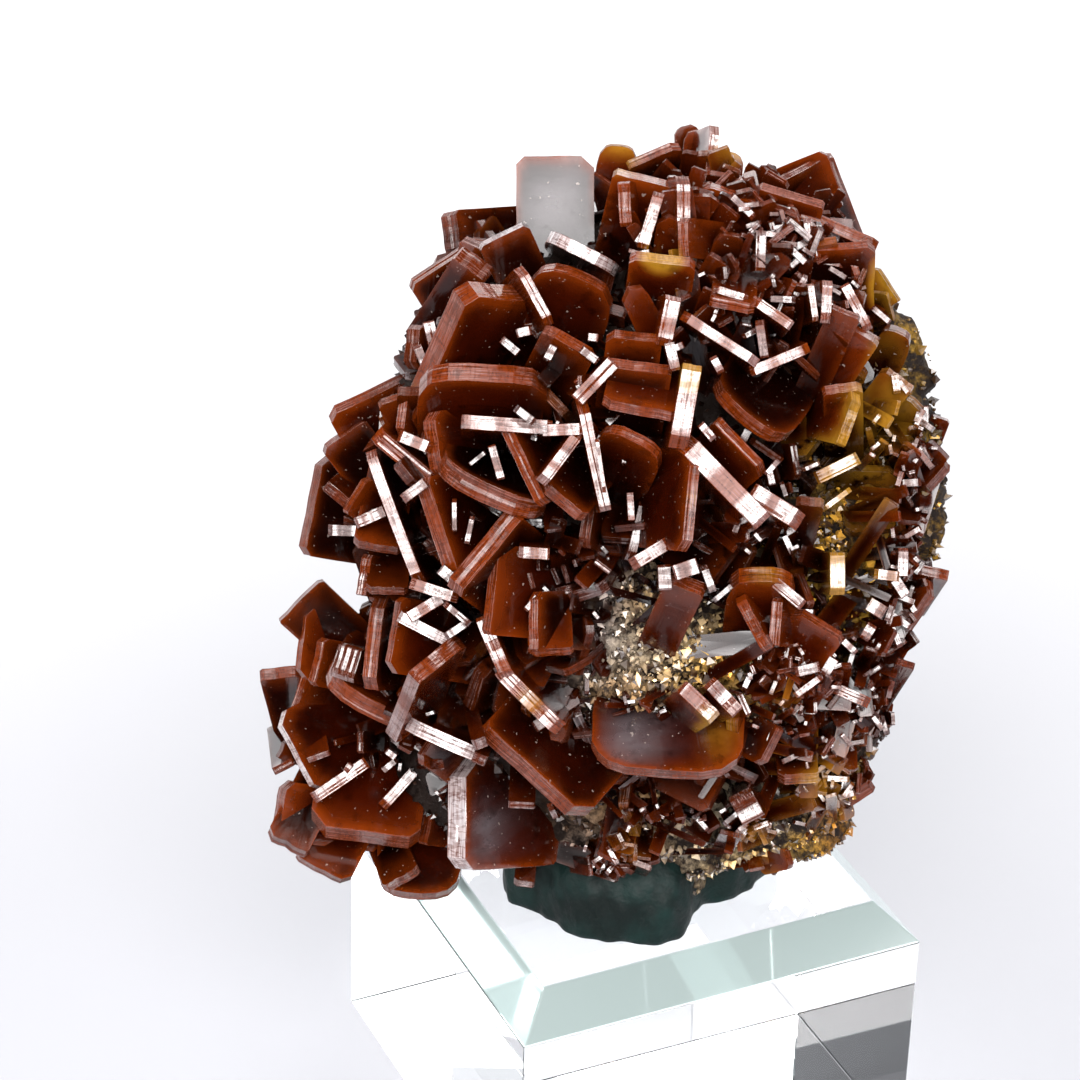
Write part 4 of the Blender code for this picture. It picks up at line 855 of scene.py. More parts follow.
def scattered(count: int, seed: int, length: tuple[float, float], thick: tuple[float, float],
              rise: tuple[float, float], tilt: float, lowest: float) -> Tablets:
    """Small crystals that stand on the rock in all directions.

    Directions are evenly random. Each crystal's rim stands its rise above the rock along the rock's normal,
    which is leaned by a random tilt, and its length runs any way across it.

    Args:
        count: how many are tried.
        seed: seed of the places.
        length: least and most length.
        thick: least and most thickness.
        rise: least and most height over the rock.
        tilt: spread of the lean.
        lowest: directions below this height are left bare.

    Returns:
        The tablets that the viewer would see inside the outline.
    """
    rng = np.random.default_rng(seed)
    d = unit(rng.normal(0.0, 1.0, (count, 3)))
    d = d[d[:, 2] > lowest]
    count = len(d)
    normal = unit(unit(d / np.array(LUMP.half)) * 0.6 + d * 0.4)
    out = unit(normal + rng.normal(0.0, tilt, (count, 3)))
    along = unit(np.cross(out, rng.normal(0.0, 1.0, (count, 3))))
    skew = rng.uniform(0.0, 1.0, count) ** 1.6
    size = length[0] + (length[1] - length[0]) * skew
    stand = rise[0] + (rise[1] - rise[0]) * rng.uniform(0.0, 1.0, count) * (0.4 + 0.6 * skew)
    rim = LUMP.middle + d * LUMP.radius(d)[:, None] + out * stand[:, None]
    tablets = Tablets(rim, along, out, size, stand + 1.2, rng.uniform(*thick, count) * (0.6 + 0.6 * skew),
                      (rng.uniform(0.0, 1.0, count) < 0.2).astype(float),
                      np.maximum(amber_at(rim), rng.uniform(0.0, 1.0, count) ** 4 * 0.6),
                      rng.uniform(0.0, 1.0, count), rng.uniform(0.0, 0.4, count))

    def along_rims(share: float) -> list[np.ndarray]:
        """Points at the middle of each rim and at a share of its length to each side."""
        return [rim + sign * share * size[:, None] * along for sign in (-1, 0, 1)]

    inside = np.all([within_outline(points) for points in along_rims(0.5)], axis=0)
    bare = np.any([over_clear(points) for points in along_rims(0.4)], axis=0)
    right, up, toward = VIEW.apparent(rim).T
    level = VIEW.depth_on(np.array(LUMP.rim_half), LUMP.middle, right, up)
    under = (toward < level - UNDER_RIMS) | (toward < SIDES_START)
    return tablets.chosen(inside & under & (rim[:, 2] > LOWEST_RIM) & ~bare)


# Shader sheets


Value = Union[float, "Signal", Sequence[float]]


def solid(colour: Colour) -> tuple[float, float, float, float]:
    """A colour with full alpha."""
    return (*colour, 1.0)


class Signal:
    """One output of a shader node, on which Python's operators add Math nodes."""

    def __init__(self, sheet: "Sheet", socket: bpy.types.NodeSocket) -> None:
        """Keep the sheet that the node stands on and its output."""
        self.sheet = sheet
        self.socket = socket

    def maths(self, operation: str, first: Value, second: Value) -> "Signal":
        """A Math node of two values."""
        made = self.sheet.node("ShaderNodeMath", {"operation": operation}, {0: first, 1: second})
        return Signal(self.sheet, made.outputs[0])

    def __add__(self, other: Value) -> "Signal":
        """self + other."""
        return self.maths("ADD", self, other)

    __radd__ = __add__

    def __sub__(self, other: Value) -> "Signal":
        """self - other."""
        return self.maths("SUBTRACT", self, other)

    def __rsub__(self, other: Value) -> "Signal":
        """other - self."""
        return self.maths("SUBTRACT", other, self)

    def __mul__(self, other: Value) -> "Signal":
        """self * other."""
        return self.maths("MULTIPLY", self, other)

    __rmul__ = __mul__

    def line(self, width: float) -> "Signal":
        """1 where a noise crosses its middle value, falling to 0 at a squared distance of width from it."""
        return 1.0 - ((self - 0.5) * (self - 0.5)).step(0.0, width)

    def step(self, low: float, high: float) -> "Signal":
        """0 below low, 1 above high, and a smooth rise between them."""
        made = self.sheet.node("ShaderNodeMapRange", {"interpolation_type": "SMOOTHSTEP"},
                               {"Value": self, "From Min": low, "From Max": high})
        return Signal(self.sheet, made.outputs["Result"])


class Sheet:
    """The node sheet of one material, or of the world."""

    def __init__(self, owner: Union[bpy.types.Material, bpy.types.World]) -> None:
        """Turn the owner's nodes on and take the one shader that they start with."""
        owner.use_nodes = True
        self.owner = owner
        self.nodes = owner.node_tree.nodes
        self.links = owner.node_tree.links
        self.shader = next(node for node in self.nodes if "OUTPUT" not in node.type)

    @classmethod
    def named(cls, name: str) -> "Sheet":
        """The sheet of a new material."""
        return cls(bpy.data.materials.new(name))

    def node(self, kind: str, settings: dict[str, Any], sockets: dict[Any, Value]) -> bpy.types.Node:
        """Add a node.

        Args:
            kind: the node's type.
            settings: its settings, set before its sockets.
            sockets: value or signal for sockets by name or number.

        Returns:
            The node.
        """
        made = self.nodes.new(kind)
        for label, value in settings.items():
            setattr(made, label, value)
        self.feed(made, sockets)
        return made

    def feed(self, node: bpy.types.Node, sockets: dict[Any, Value]) -> None:
        """Set or link sockets of a node."""
        for label, value in sockets.items():
            if isinstance(value, Signal):
                self.links.new(value.socket, node.inputs[label])
            else:
                node.inputs[label].default_value = value

    def attribute(self, label: str, output: str = "Fac") -> Signal:
        """A number that the mesh carries, or a colour by its output Color."""
        return Signal(self, self.node("ShaderNodeAttribute", {"attribute_name": label}, {}).outputs[output])

    def coordinates(self, source: str, scale: tuple[float, float, float] = (1.0, 1.0, 1.0)) -> Signal:
        """Coordinates of one kind, stretched."""
        made = self.node("ShaderNodeTexCoord", {}, {})
        sockets = {"Vector": Signal(self, made.outputs[source]), "Scale": scale}
        return Signal(self, self.node("ShaderNodeMapping", {}, sockets).outputs[0])

    def depth(self, source: str) -> Signal:
        """The second of the coordinates of one kind, which grows away from the viewer."""
        split = self.node("ShaderNodeSeparateXYZ", {}, {"Vector": self.coordinates(source)})
        return Signal(self, split.outputs[1])

    def noise(self, vector: Signal, scale: float, detail: float = 2.0, roughness: float = 0.5) -> Signal:
        """Noise from 0 to 1."""
        sockets = {"Vector": vector, "Scale": scale, "Detail": detail, "Roughness": roughness}
        return Signal(self, self.node("ShaderNodeTexNoise", {}, sockets).outputs[0])

    def growth(self, across: float, inward: float, detail: float = 2.0, roughness: float = 0.5) -> Signal:
        """Noise along the growth coordinates: changes per mm round the crystal and inward."""
        return self.noise(self.coordinates("UV", (across, inward, 1.0)), 1.0, detail, roughness)

    def blend(self, first: Union[Signal, Colour], second: Union[Signal, Colour], factor: Value) -> Signal:
        """A colour between two colours."""
        ends = [colour if isinstance(colour, Signal) else solid(colour) for colour in (first, second)]
        made = self.node("ShaderNodeMix", {"data_type": "RGBA"}, {0: factor, 6: ends[0], 7: ends[1]})
        return Signal(self, made.outputs[2])

    def bump(self, height: Signal, strength: float, distance: float) -> Signal:
        """A bumped normal."""
        made = self.node("ShaderNodeBump", {}, {"Strength": strength, "Distance": distance, "Height": height})
        return Signal(self, made.outputs[0])

    def finish(self, **sockets: Value) -> Union[bpy.types.Material, bpy.types.World]:
        """Set the shader's sockets, with underscores for spaces, and give the owner."""
        self.feed(self.shader, {label.replace("_", " "): value for label, value in sockets.items()})
        return self.owner


@dataclass(frozen=True)
class WulfeniteFinish:
    """Dark red-brown crystal that glows orange and amber at thin edges, with growth lines on its rims.

    The body is dark and takes its colours in layers: the red-brown body, a painted orange glow near the rims,
    the amber places, a painted grey sheen on the glossy faces, painted shade at the roots, pale flecks, and a
    painted white highlight on the rims that shine.
    """

    deep: Colour = (0.006, 0.0008, 0.0003)
    body: Colour = (0.050, 0.0048, 0.0006)
    # the orange of the painted glow near thin rims
    orange: Colour = (0.205, 0.030, 0.0020)
    amber: Colour = (0.420, 0.200, 0.016)
    sheen_colour: Colour = (0.160, 0.140, 0.150)
    # the grey of the painted sheen, a reflection painted on glossy faces
    fleck: Colour = (0.420, 0.350, 0.310)
    # the white of the painted highlight on rims that shine
    painted_highlight: Colour = (0.680, 0.580, 0.570)
    index: float = 1.5
    rim_index: float = 2.4
    face_shine: float = 0.14
    see_through: float = 0.35

    def make(self, name: str) -> bpy.types.Material:
        """Build the material."""
        sheet = Sheet.named(name)
        labels = ("chance", "rim", "near_rim", "amber", "shine", "gloss_and_sheen", "root")
        chance, rim, near, amber, shine, gloss_and_sheen, root = (sheet.attribute(label) for label in labels)
        face = 1.0 - rim

        # unevenness through the body, and along and across the growth
        place = sheet.coordinates("Object")
        cloud = sheet.noise(place, 170.0, 5.0, 0.62)
        veil = sheet.noise(place, 620.0, 3.0, 0.6)
        fine = sheet.noise(place, 2600.0, 2.0)
        streaks = sheet.noise(sheet.coordinates("Object", (0.3, 0.3, 2.4)), 420.0, 3.0, 0.6)
        zones, across = sheet.growth(0.05, 0.9), sheet.growth(0.8, 0.25, 3.0, 0.6)
        sheets, striae = sheet.growth(0.10, 3.2), sheet.growth(0.30, 7.0, 2.0, 0.7)
        patches = sheet.growth(0.28, 0.05, 1.0)
        marks = rim * (across.line(0.0020) * 0.35 + sheets.line(0.0015) * 0.45)

        # the layers of colour
        warmth = cloud * 0.8 + chance * 0.8 + zones * 0.3
        # painted glow: orange near the thin rims stands in for light passing through them, over random
        # warmth; honey adds amber at the amber places, partly the crystals' colour and partly painted glow
        glow = near * (0.45 + cloud * 0.9) + chance * 0.2 + amber * 0.35 + rim * 0.15
        honey = amber * (0.35 + near * 0.7) * (0.5 + cloud)
        # painted sheen: a grey reflection painted on glossy faces, fainter near the rims
        painted_sheen = gloss_and_sheen * (0.1 + cloud * 0.6 + streaks * 0.7) * (1.0 - near * 0.7)
        flecks = fine.step(0.70, 0.73) * face * 0.6
        # painted highlight: white on the rims that shine, streaked along the growth striae, and whole where
        # shine is highest
        highlight_mask = striae.step(0.50, 0.62) * (0.10 + shine * 0.25) * patches.step(0.36, 0.55)
        highlight_mask = highlight_mask + shine.step(1.1, 1.5) * 0.8
        colour = sheet.blend(self.deep, self.body, warmth.step(0.55, 1.3))
        for tint, factor in ((self.orange, glow.step(0.35, 1.35)),
                             (self.amber, honey.step(0.35, 1.0)),
                             # painted sheen
                             (self.sheen_colour, painted_sheen.step(0.12, 0.95)),
                             # painted shade: darker toward the crystals' roots, with random dark clouding
                             (self.deep, root * 0.85 + veil.step(0.52, 0.72) * 0.4),
                             (self.fleck, flecks),
                             # painted highlight
                             (self.painted_highlight, rim.step(0.75, 1.0) * highlight_mask * (1.0 - marks)),
                             (self.deep, marks * 0.6)):
            colour = sheet.blend(colour, tint, factor)

        lit = 0.12 + 0.88 * patches.step(0.43, 0.55)
        return sheet.finish(
            Base_Color=colour,
            Roughness=0.08 + fine * 0.08 + rim * 0.10 * across,
            Normal=sheet.bump(across * rim + sheets * rim * 0.5 + cloud * 0.4 + fine * 0.05, 0.6, 0.00010),
            IOR=self.index,
            Specular_IOR_Level=self.face_shine,
            Transmission_Weight=self.see_through,
            Coat_Weight=rim * shine * (1.0 - marks) * lit + face * gloss_and_sheen * 0.16,
            Coat_IOR=self.rim_index,
            Coat_Roughness=0.10,
        )


@dataclass(frozen=True)
class RockFinish:
    """Brown iron-stained rock with grains in the stain's own colours."""

    shade: Colour = (0.010, 0.005, 0.003)
    roughest: float = 0.85

    def make(self, name: str) -> bpy.types.Material:
        """Build the material."""
        sheet = Sheet.named(name)
        place = sheet.coordinates("Object")
        coarse, fine = sheet.noise(place, 420.0, 4.0, 0.65), sheet.noise(place, 1900.0, 3.0, 0.7)
        # painted shade: near black in noise patches, the stain's colour elsewhere
        stained = (coarse * 0.8 + fine * 0.4).step(0.53, 0.80)
        return sheet.finish(
            Base_Color=sheet.blend(self.shade, sheet.attribute("stain", "Color"), stained),
            Roughness=self.roughest - fine * 0.45,
            Normal=sheet.bump(coarse + fine * 0.6, 0.9, 0.0005),
            Specular_IOR_Level=0.2,
        )


@dataclass(frozen=True)
class GrainFinish:
    """Glassy little grains in the stain's colours, some of them brown."""

    brown: Colour = (0.030, 0.010, 0.004)
    index: float = 1.9
    see_through: float = 0.15

    def make(self, name: str) -> bpy.types.Material:
        """Build the material."""
        sheet = Sheet.named(name)
        place = sheet.coordinates("Object")
        cloud, chance = sheet.noise(place, 900.0, 2.0), sheet.attribute("chance")
        darkened = (cloud * 0.8 + chance * 0.5).step(0.40, 0.95)
        return sheet.finish(
            Base_Color=sheet.blend(sheet.attribute("stain", "Color"), self.brown, darkened),
            Roughness=0.10 + chance * 0.25,
            IOR=self.index,
            Transmission_Weight=self.see_through,
        )


@dataclass(frozen=True)
class PuttyFinish:
    """Dark green-grey putty, a little greasy, with thumbed folds."""

    dark: Colour = (0.0008, 0.0040, 0.0034)
    pale: Colour = (0.0030, 0.0170, 0.0145)

    def make(self, name: str) -> bpy.types.Material:
        """Build the material."""
        sheet = Sheet.named(name)
        place = sheet.coordinates("Object")
        fold, fine = sheet.noise(place, 260.0, 4.0, 0.6), sheet.noise(place, 2400.0, 3.0)
        return sheet.finish(
            Base_Color=sheet.blend(self.dark, self.pale, fold.step(0.35, 0.75)),
            Roughness=0.42 + fine * 0.25,
            Specular_IOR_Level=0.2,
            Normal=sheet.bump(fold + fine * 0.2, 0.7, 0.0004),
        )


@dataclass(frozen=True)
class AcrylicFinish:
    """Clear acrylic, polished or satin, with a faint smear here and there."""

    clear: Colour = (0.985, 0.995, 0.992)
    index: float = 1.49
    satin: float = 0.0
    clearness: float = 1.0

    def make(self, name: str) -> bpy.types.Material:
        """Build the material."""
        sheet = Sheet.named(name)
        place = sheet.coordinates("Object")
        smear = sheet.noise(place, 90.0, 2.0).step(0.55, 0.9)
        return sheet.finish(
            Base_Color=solid(self.clear),
            Roughness=self.satin + smear * 0.03,
            IOR=self.index,
            Transmission_Weight=self.clearness,
        )


@dataclass(frozen=True)
class FloorFinish:
    """Pale paper with painted shade: darker and a little blue toward the viewer."""

    near: Colour = (0.36, 0.365, 0.39)
    far: Colour = (0.74, 0.74, 0.75)

    def make(self, name: str) -> bpy.types.Material:
        """Build the material."""
        sheet = Sheet.named(name)
        grain = sheet.noise(sheet.coordinates("Object"), 40.0, 3.0)
        return sheet.finish(
            # painted shade: the paper darkens toward the viewer
            Base_Color=sheet.blend(self.near, self.far, sheet.depth("Object").step(-0.05, 0.30)),
            Roughness=0.85 + grain * 0.1,
        )


# The specimen's parts


class Zone(Enum):
    """Colours of the rock's coating."""

    # near black: the rock's dark brown, deepened to painted shade where crystals cover the rock
    BROWN = (0.008, 0.003, 0.0015)
    TAN = (0.360, 0.200, 0.080)
    YELLOW = (0.640, 0.360, 0.050)
    OCHRE = (0.420, 0.165, 0.016)
    CREAM = (0.620, 0.520, 0.360)
    GREY = (0.360, 0.310, 0.295)
    RED = (0.110, 0.022, 0.008)


@dataclass(frozen=True)
class Coating:
    """Where the rock lies bare and what coats it there: right, up and spread in mm, and the zone."""

    places: tuple[tuple[float, float, float, Zone], ...] = (
        # round the bare rock in the middle
        (10.5, -8.5, 4.0, Zone.CREAM), (14.5, -11.5, 3.6, Zone.YELLOW), (7.0, -6.0, 3.8, Zone.GREY),
        (9.5, -5.5, 2.5, Zone.YELLOW), (16.5, -14.5, 3.0, Zone.TAN), (9.0, -14.0, 3.0, Zone.TAN),
        (4.5, -5.0, 3.0, Zone.GREY),
        # right side and crown
        (28.5, 6.5, 4.5, Zone.YELLOW), (28.5, -1.5, 4.5, Zone.YELLOW), (29.0, 1.5, 3.0, Zone.OCHRE),
        (30.0, 17.5, 2.4, Zone.YELLOW), (6.0, 34.5, 1.8, Zone.YELLOW),
        # lower edge
        (10.0, -25.5, 4.5, Zone.TAN), (15.5, -26.5, 4.0, Zone.CREAM), (7.0, -29.0, 3.0, Zone.GREY),
        (18.0, -28.5, 2.5, Zone.YELLOW), (12.0, -28.5, 3.0, Zone.BROWN), (23.3, -23.2, 1.8, Zone.CREAM),
        (21.2, -29.0, 2.4, Zone.YELLOW), (25.5, -20.5, 2.5, Zone.TAN), (31.0, -13.0, 3.0, Zone.RED),
        (27.0, -16.0, 3.5, Zone.BROWN), (18.5, -25.0, 3.0, Zone.CREAM), (24.0, 9.0, 2.5, Zone.OCHRE),
        (27.0, -24.0, 3.0, Zone.OCHRE), (28.5, -21.5, 2.2, Zone.YELLOW), (24.0, -26.0, 2.0, Zone.YELLOW),
    )
    ground: float = 0.22

    def stain(self, points: np.ndarray) -> tuple[np.ndarray, np.ndarray]:
        """Colour and bareness at points.

        Each place adds its colour with a bell-shaped weight round it, as the viewer sees it, to a faint
        near-black ground, partly the rock's brown and partly painted shade where crystals cover it. Points on
        the side away from the viewer take tan and ochre from smooth noise.

        Args:
            points: array of points in mm.

        Returns:
            Colours, shape (n, 3), and how bare the rock is there, 0 to 1.
        """
        seen = VIEW.apparent(points)
        front = np.clip((seen[:, 2] + 12.0) / 8.0, 0.0, 1.0)
        weight = np.full(len(points), self.ground)
        colour = weight[:, None] * np.array(Zone.BROWN.value)
        for right, up, spread, zone in self.places:
            bell = front * np.exp(-((seen[:, 0] - right) ** 2 + (seen[:, 1] - up) ** 2) / spread ** 2)
            weight, colour = weight + bell, colour + bell[:, None] * np.array(zone.value)
        patch = np.clip(smooth_noise(points, 9.0, 3.3) * 1.5, 0.0, 1.0) * (1.0 - front) * 1.2
        tone = np.clip(smooth_noise(points, 6.0, 5.1), 0.0, 1.0)[:, None]
        away = (1 - tone) * 0.6 * np.array(Zone.TAN.value) + tone * 0.6 * np.array(Zone.OCHRE.value)
        colour = (colour + patch[:, None] * away) / (weight + patch)[:, None]
        return colour, np.clip(weight + patch - self.ground, 0.0, 1.0)


COATING = Coating()


@dataclass
class Rock:
    """The matrix: the lump at a fine scale, with ledges, knobs and pits."""

    rows: int = 200
    columns: int = 380
    pit_depth: float = 0.45
    finish: RockFinish = field(default_factory=RockFinish)

    def surface(self) -> Surface:
        """The lump on rings of points, its radius drawn to ledges, with small knobs and pits.

        Returns:
            The closed surface.
        """
        p, t = ring_angles(self.rows, self.columns)
        d = np.stack([np.sin(p) * np.cos(t), np.sin(p) * np.sin(t), np.cos(p)], -1).reshape(-1, 3)
        d = np.concatenate([d, [[0.0, 0.0, 1.0], [0.0, 0.0, -1.0]]])
        radius = LUMP.ledged(d)
        place = d * radius[:, None]
        knobs = 0.9 * np.abs(smooth_noise(place, 1.5, 0.3))
        knobs = knobs + 0.5 * np.abs(smooth_noise(place + 3.0, 0.8, 1.7))
        points = LUMP.middle + d * (radius - self.pit_depth + knobs)[:, None]
        stain, _ = COATING.stain(points)
        return Surface(points, *ring_faces(self.rows, self.columns), values={"stain": stain})

    def build(self) -> list[bpy.types.Object]:
        """Make the rock in place of its plain solid."""
        piece = self.surface().make("matrix_rock", self.finish.make("iron_stained_rock"), smooth=True)
        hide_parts("matrix")
        return [piece]


@dataclass
class Crystals:
    """All the wulfenite: the measured crystals, the back's larger ones and the small ones between them."""

    small_tried: int = 2600
    mid_tried: int = 900
    lowest_rim: float = 27.5
    finish: WulfeniteFinish = field(default_factory=WulfeniteFinish)

    def shown(self) -> Tablets:
        """The measured crystals of the shown face."""
        tablets = Tablets.gather([tablet_row(row) for row in SHOWN])
        tablets.amber = np.random.default_rng(5).uniform(0.0, 0.35, len(tablets.length))
        return tablets

    def small_shown(self) -> Tablets:
        """The measured small crystals of the shown face."""
        tablets = Tablets.gather([tablet_row(row) for row in SMALL_SHOWN])
        chance = np.random.default_rng(6).uniform(0.0, 0.5, len(tablets.length))
        tablets.amber = np.maximum(amber_at(tablets.rim), chance)
        return tablets

    def crowded(self) -> Tablets:
        """The small crystals that crowd in front, kept where the viewer would see them inside the outline."""
        tablets = Tablets.gather([tablet_row(row) for row in crowd_rows(41)])
        rng = np.random.default_rng(7)
        chance = rng.uniform(0.0, 0.7, len(tablets.length)) ** 2
        tablets.amber = np.maximum(amber_at(tablets.rim) * 0.9, chance)
        tablets.shine = np.maximum(tablets.shine, rng.uniform(0.0, 0.8, len(tablets.length)))
        half, down = 0.5 * tablets.length[:, None] * tablets.along, tablets.reach[:, None] * tablets.out
        inside = np.all([within_outline(tablets.rim + sign * half - depth * down)
                         for sign in (-1, 1) for depth in (0.0, 1.0)], axis=0)
        rooted = (tablets.reach < LUMP.missed - 1.0) & (tablets.rim[:, 2] > self.lowest_rim)
        return tablets.chosen(inside & rooted & ~over_clear(tablets.rim))

    def build(self) -> list[bpy.types.Object]:
        """Make the crystals in place of the plain ones."""
        material = self.finish.make("wulfenite")
        mid = scattered(self.mid_tried, 21, (2.6, 6.0), (0.6, 1.1), (2.0, 6.0), 0.55, -0.72)
        small = scattered(self.small_tried, 22, (1.0, 3.2), (0.35, 0.7), (0.6, 2.6), 0.7, -0.85)
        pieces = [
            self.shown().surface(6, 4, 3, 1).make("crystals_shown", material),
            Tablets.gather(list(back_rows())).surface(6, 3, 2, 2).make("crystals_back", material),
            self.small_shown().surface(3, 2, 1, 3).make("crystals_small_shown", material),
            self.crowded().surface(2, 2, 0, 6).make("crystals_crowded", material),
            mid.surface(2, 2, 0, 4).make("crystals_between", material),
            small.surface(2, 1, 0, 5).make("crystals_fine", material),
        ]
        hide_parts(*CRYSTAL_NODES)
        return pieces


@dataclass
class Druse:
    """Thousands of grains that coat the bare rock."""

    tried: int = 60000
    size: tuple[float, float] = (0.20, 0.85)
    stand: float = 0.25
    finish: GrainFinish = field(default_factory=GrainFinish)

    def surface(self) -> Surface:
        """Small closed crystals of eight faces with a point out and one in, where the rock is bare.

        Grain points are middle + one of six half-axes, each of its own random length and all turned together.

        Returns:
            One surface of all the grains.
        """
        rng = np.random.default_rng(31)
        d = unit(rng.normal(0.0, 1.0, (self.tried, 3)))
        place = LUMP.middle + d * (LUMP.ledged(d) + self.stand)[:, None]
        stain, bare = COATING.stain(place)
        keep = rng.uniform(0.0, 1.0, self.tried) < 0.10 + 0.9 * bare
        d, place, stain = d[keep], place[keep], stain[keep]
        count = len(d)
        size = self.size[0] + (self.size[1] - self.size[0]) * rng.uniform(0.0, 1.0, count) ** 2.2
        first = unit(np.cross(d, rng.normal(0.0, 1.0, (count, 3))))
        axis = unit(d + rng.normal(0.0, 0.5, (count, 3)))
        first = unit(first - (first * axis).sum(1, keepdims=True) * axis)
        second = np.cross(axis, first)
        lengths = size[:, None] * rng.uniform(0.35, 1.0, (count, 3)) * np.array([0.8, 0.8, 1.0])
        a, b, c = first * lengths[:, :1], second * lengths[:, 1:2], axis * lengths[:, 2:]
        arms = np.stack([a, b, -a, -b, c, -c], axis=1)
        points = (place[:, None, :] + arms).reshape(-1, 3)
        sides = [(0, 1), (1, 2), (2, 3), (3, 0)]
        face = np.array([(*side, 4) for side in sides] + [(*side[::-1], 5) for side in sides])
        per = arms.shape[1]
        triangles = (np.arange(count)[:, None, None] * per + face).reshape(-1, 3)
        shade, chance = stain * np.exp(rng.normal(0.0, 0.7, (count, 1))), rng.uniform(0.0, 1.0, count)
        values = {"stain": np.repeat(shade, per, axis=0), "chance": np.repeat(chance, per)}
        return Surface(points, np.zeros((0, 4), int), triangles, values=values)

    def build(self) -> list[bpy.types.Object]:
        """Make the grains."""
        piece = self.surface().make("druse_grains", self.finish.make("druse"))
        return [piece]


@dataclass
class Putty:
    """The pad pressed between the rock and the block."""

    centre: tuple[float, float] = (-0.5, -2.6)
    reach: tuple[float, float] = (11.8, 11.5)
    floor: float = 25.4
    top: float = 35.0
    gap: float = 0.05
    rows: int = 60
    columns: int = 200
    finish: PuttyFinish = field(default_factory=PuttyFinish)

    def build(self) -> list[bpy.types.Object]:
        """Make the putty: a flattened ball with lobes round it and folds pressed into its side."""
        p, t = ring_angles(self.rows, self.columns)
        flat = np.sign(np.cos(p)) * np.abs(np.cos(p)) ** 0.75
        lobes = 1.0 + 0.10 * np.sin(3 * t + 0.7) + 0.07 * np.sin(5 * t + 2.0) + 0.04 * np.sin(9 * t)
        ring = np.sin(p) * (1.0 + 0.009 * np.sin(23 * t + 9 * p) + 0.006 * np.sin(37 * t - 14 * p))
        x = self.centre[0] + ring * np.cos(t) * self.reach[0] * lobes
        y = self.centre[1] + ring * np.sin(t) * self.reach[1] * lobes
        base = self.floor + self.gap
        z = base + np.maximum(0.0, 0.18 + 0.82 * flat) * (self.top - self.floor)
        poles = [[*self.centre, self.top], [*self.centre, base]]
        points = np.concatenate([np.stack([x, y, z], -1).reshape(-1, 3), poles])
        pad = Surface(points, *ring_faces(self.rows, self.columns))
        piece = pad.make("putty_pad", self.finish.make("mineral_putty"), smooth=True)
        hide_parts("putty")
        return [piece]


@dataclass
class Block:
    """The clear block with a chamfer round its top and hair-thin rounded edges."""

    side: float = 38.1
    height: float = 25.4
    chamfer: float = 3.2
    turn: float = math.radians(25.66)
    edge: float = 0.12
    finish: AcrylicFinish = field(default_factory=AcrylicFinish)
    # the chamfer is buffed by hand, so it is a little pearly and shows the faint green of the sheet's edge
    chamfer_finish: AcrylicFinish = AcrylicFinish((0.60, 0.73, 0.71), satin=0.07, clearness=0.62)

    def build(self) -> list[bpy.types.Object]:
        """Make the block: a square carried up three levels, the last one drawn in by the chamfer."""
        half, inner = self.side / 2, self.side / 2 - self.chamfer
        corner = np.array([(-1, -1), (1, -1), (1, 1), (-1, 1)], float)
        levels = [(half, 0.0), (half, self.height - self.chamfer), (inner, self.height)]
        points = np.concatenate([np.column_stack([corner * reach, np.full(4, z)]) for reach, z in levels])
        c, s = math.cos(self.turn), math.sin(self.turn)
        points = points @ np.array([[c, s, 0.0], [-s, c, 0.0], [0.0, 0.0, 1.0]])
        here = np.arange(4)
        there = (here + 1) % 4
        bands = [np.stack([low + here, low + there, low + 4 + there, low + 4 + here], -1) for low in (0, 4)]
        quads = np.concatenate([*bands, [[3, 2, 1, 0], [8, 9, 10, 11]]])
        block = Surface(points, quads, np.zeros((0, 3), int))
        piece = block.make("clear_block", self.finish.make("clear_acrylic"))
        piece.data.materials.append(self.chamfer_finish.make("buffed_chamfer"))
        for number in range(4, 8):
            piece.data.polygons[number].material_index = 1
        bevel = piece.modifiers.new("polished edges", "BEVEL")
        bevel.width, bevel.segments, bevel.limit_method = self.edge * MM, 2, "ANGLE"
        # light reaches the floor through the block
        piece.visible_shadow = False
        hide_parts("acrylic_block")
        return [piece]


@dataclass
class Lamp:
    """A soft panel light: place, aim and size in mm, and its strength."""

    name: str
    place: tuple[float, float, float]
    aim: tuple[float, float, float]
    size: tuple[float, float]
    power: float
    colour: Colour = (1.0, 1.0, 1.0)

    def build(self) -> None:
        """Make the light and turn it to its aim."""
        data = bpy.data.lights.new(self.name, "AREA")
        data.shape, data.size, data.size_y = "RECTANGLE", self.size[0] * MM, self.size[1] * MM
        data.energy, data.color = self.power, self.colour
        item = bpy.data.objects.new(self.name, data)
        item.location = Vector(self.place) * MM
        item.rotation_euler = (Vector(self.aim) - Vector(self.place)).to_track_quat("-Z", "Y").to_euler()
        bpy.context.scene.collection.objects.link(item)


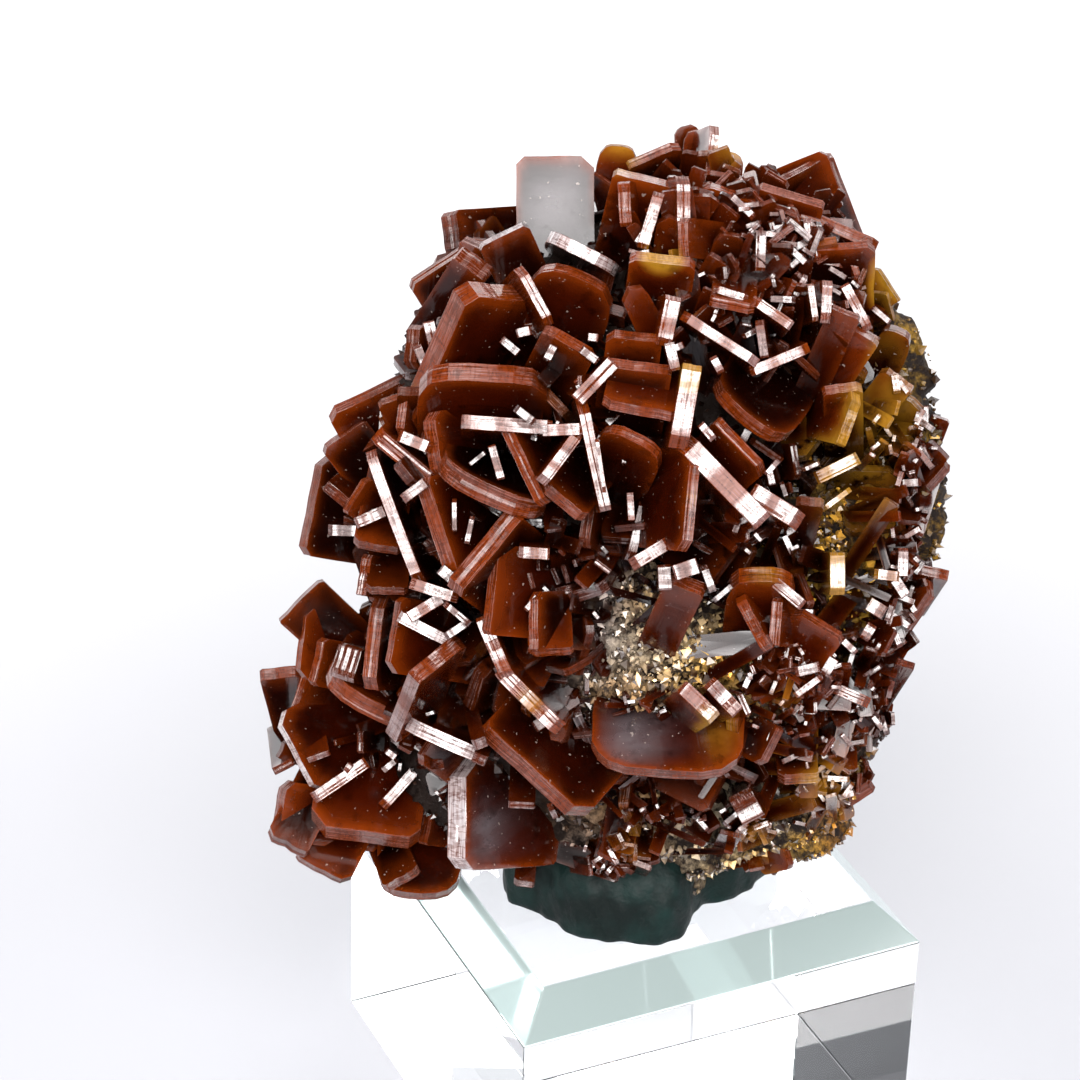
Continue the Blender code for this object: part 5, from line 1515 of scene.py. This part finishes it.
@dataclass
class Studio:
    """The pale floor, the soft lights and the camera."""

    floor_half: float = 3000.0
    floor_gap: float = 0.05
    sensor: float = 36.0
    dim: Colour = (0.025, 0.025, 0.030)
    bright: Colour = (1.05, 1.07, 1.12)
    lamps: tuple[Lamp, ...] = (
        Lamp("front panel", (-60.0, -740.0, 660.0), (0.0, 0.0, 60.0), (1000.0, 820.0), 22.0,
             (1.0, 0.975, 0.975)),
        Lamp("top panel", (-100.0, -60.0, 640.0), (0.0, 0.0, 60.0), (520.0, 420.0), 2.0),
        Lamp("left panel", (-640.0, -180.0, 300.0), (0.0, 0.0, 60.0), (260.0, 420.0), 2.5),
        Lamp("ceiling card", (150.0, 300.0, 640.0), (0.0, 0.0, 30.0), (360.0, 360.0), 0.45),
        Lamp("right card", (620.0, -420.0, 420.0), (0.0, 0.0, 30.0), (420.0, 420.0), 3.2),
        Lamp("back panel", (0.0, 900.0, 520.0), (0.0, 420.0, 0.0), (1400.0, 300.0), 5.0),
    )

    def room(self) -> bpy.types.World:
        """A soft room: dim behind the viewer, bright behind the specimen."""
        sheet = Sheet(bpy.data.worlds.new("room"))
        behind = sheet.depth("Generated").step(0.30, 0.85)
        return sheet.finish(Color=sheet.blend(self.dim, self.bright, behind))

    def floor(self) -> None:
        """Make the floor just under the block."""
        half, z = self.floor_half, -self.floor_gap
        points = np.array([(-half, -half, z), (half, -half, z), (half, half, z), (-half, half, z)])
        floor = Surface(points, np.array([[0, 1, 2, 3]]), np.zeros((0, 3), int))
        floor.make("floor", FloorFinish().make("pale_paper"))

    def camera(self) -> None:
        """Set the camera on the line of sight, rolled as the photograph was held."""
        data = bpy.data.cameras.new("camera")
        data.sensor_width = self.sensor
        data.lens = self.sensor * VIEW.focal_over_width
        item = bpy.data.objects.new("camera", data)
        c, s = math.cos(VIEW.roll), math.sin(VIEW.roll)
        across, upward = c * VIEW.right - s * VIEW.up, s * VIEW.right + c * VIEW.up
        axes = Matrix(np.stack([across, upward, VIEW.toward], axis=1).tolist())
        place = Vector((np.array(VIEW.axis_point) + VIEW.distance * VIEW.toward) * MM)
        item.matrix_world = Matrix.Translation(place) @ axes.to_4x4()
        bpy.context.scene.collection.objects.link(item)
        bpy.context.scene.camera = item

    def build(self) -> None:
        """Make the stage."""
        scene = bpy.context.scene
        scene.view_settings.view_transform = "Standard"
        scene.world = self.room()
        self.floor()
        for lamp in self.lamps:
            lamp.build()
        self.camera()


def main() -> None:
    """Build the stage and every piece."""
    logging.basicConfig(level=logging.INFO, format="%(message)s")
    Studio().build()
    for part in (Block(), Putty(), Rock(), Druse(), Crystals()):
        for piece in part.build():
            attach(piece, "root")
            LOG.info("%s: %d faces", piece.name, len(piece.data.polygons))


if __name__ == "__main__":
    main()
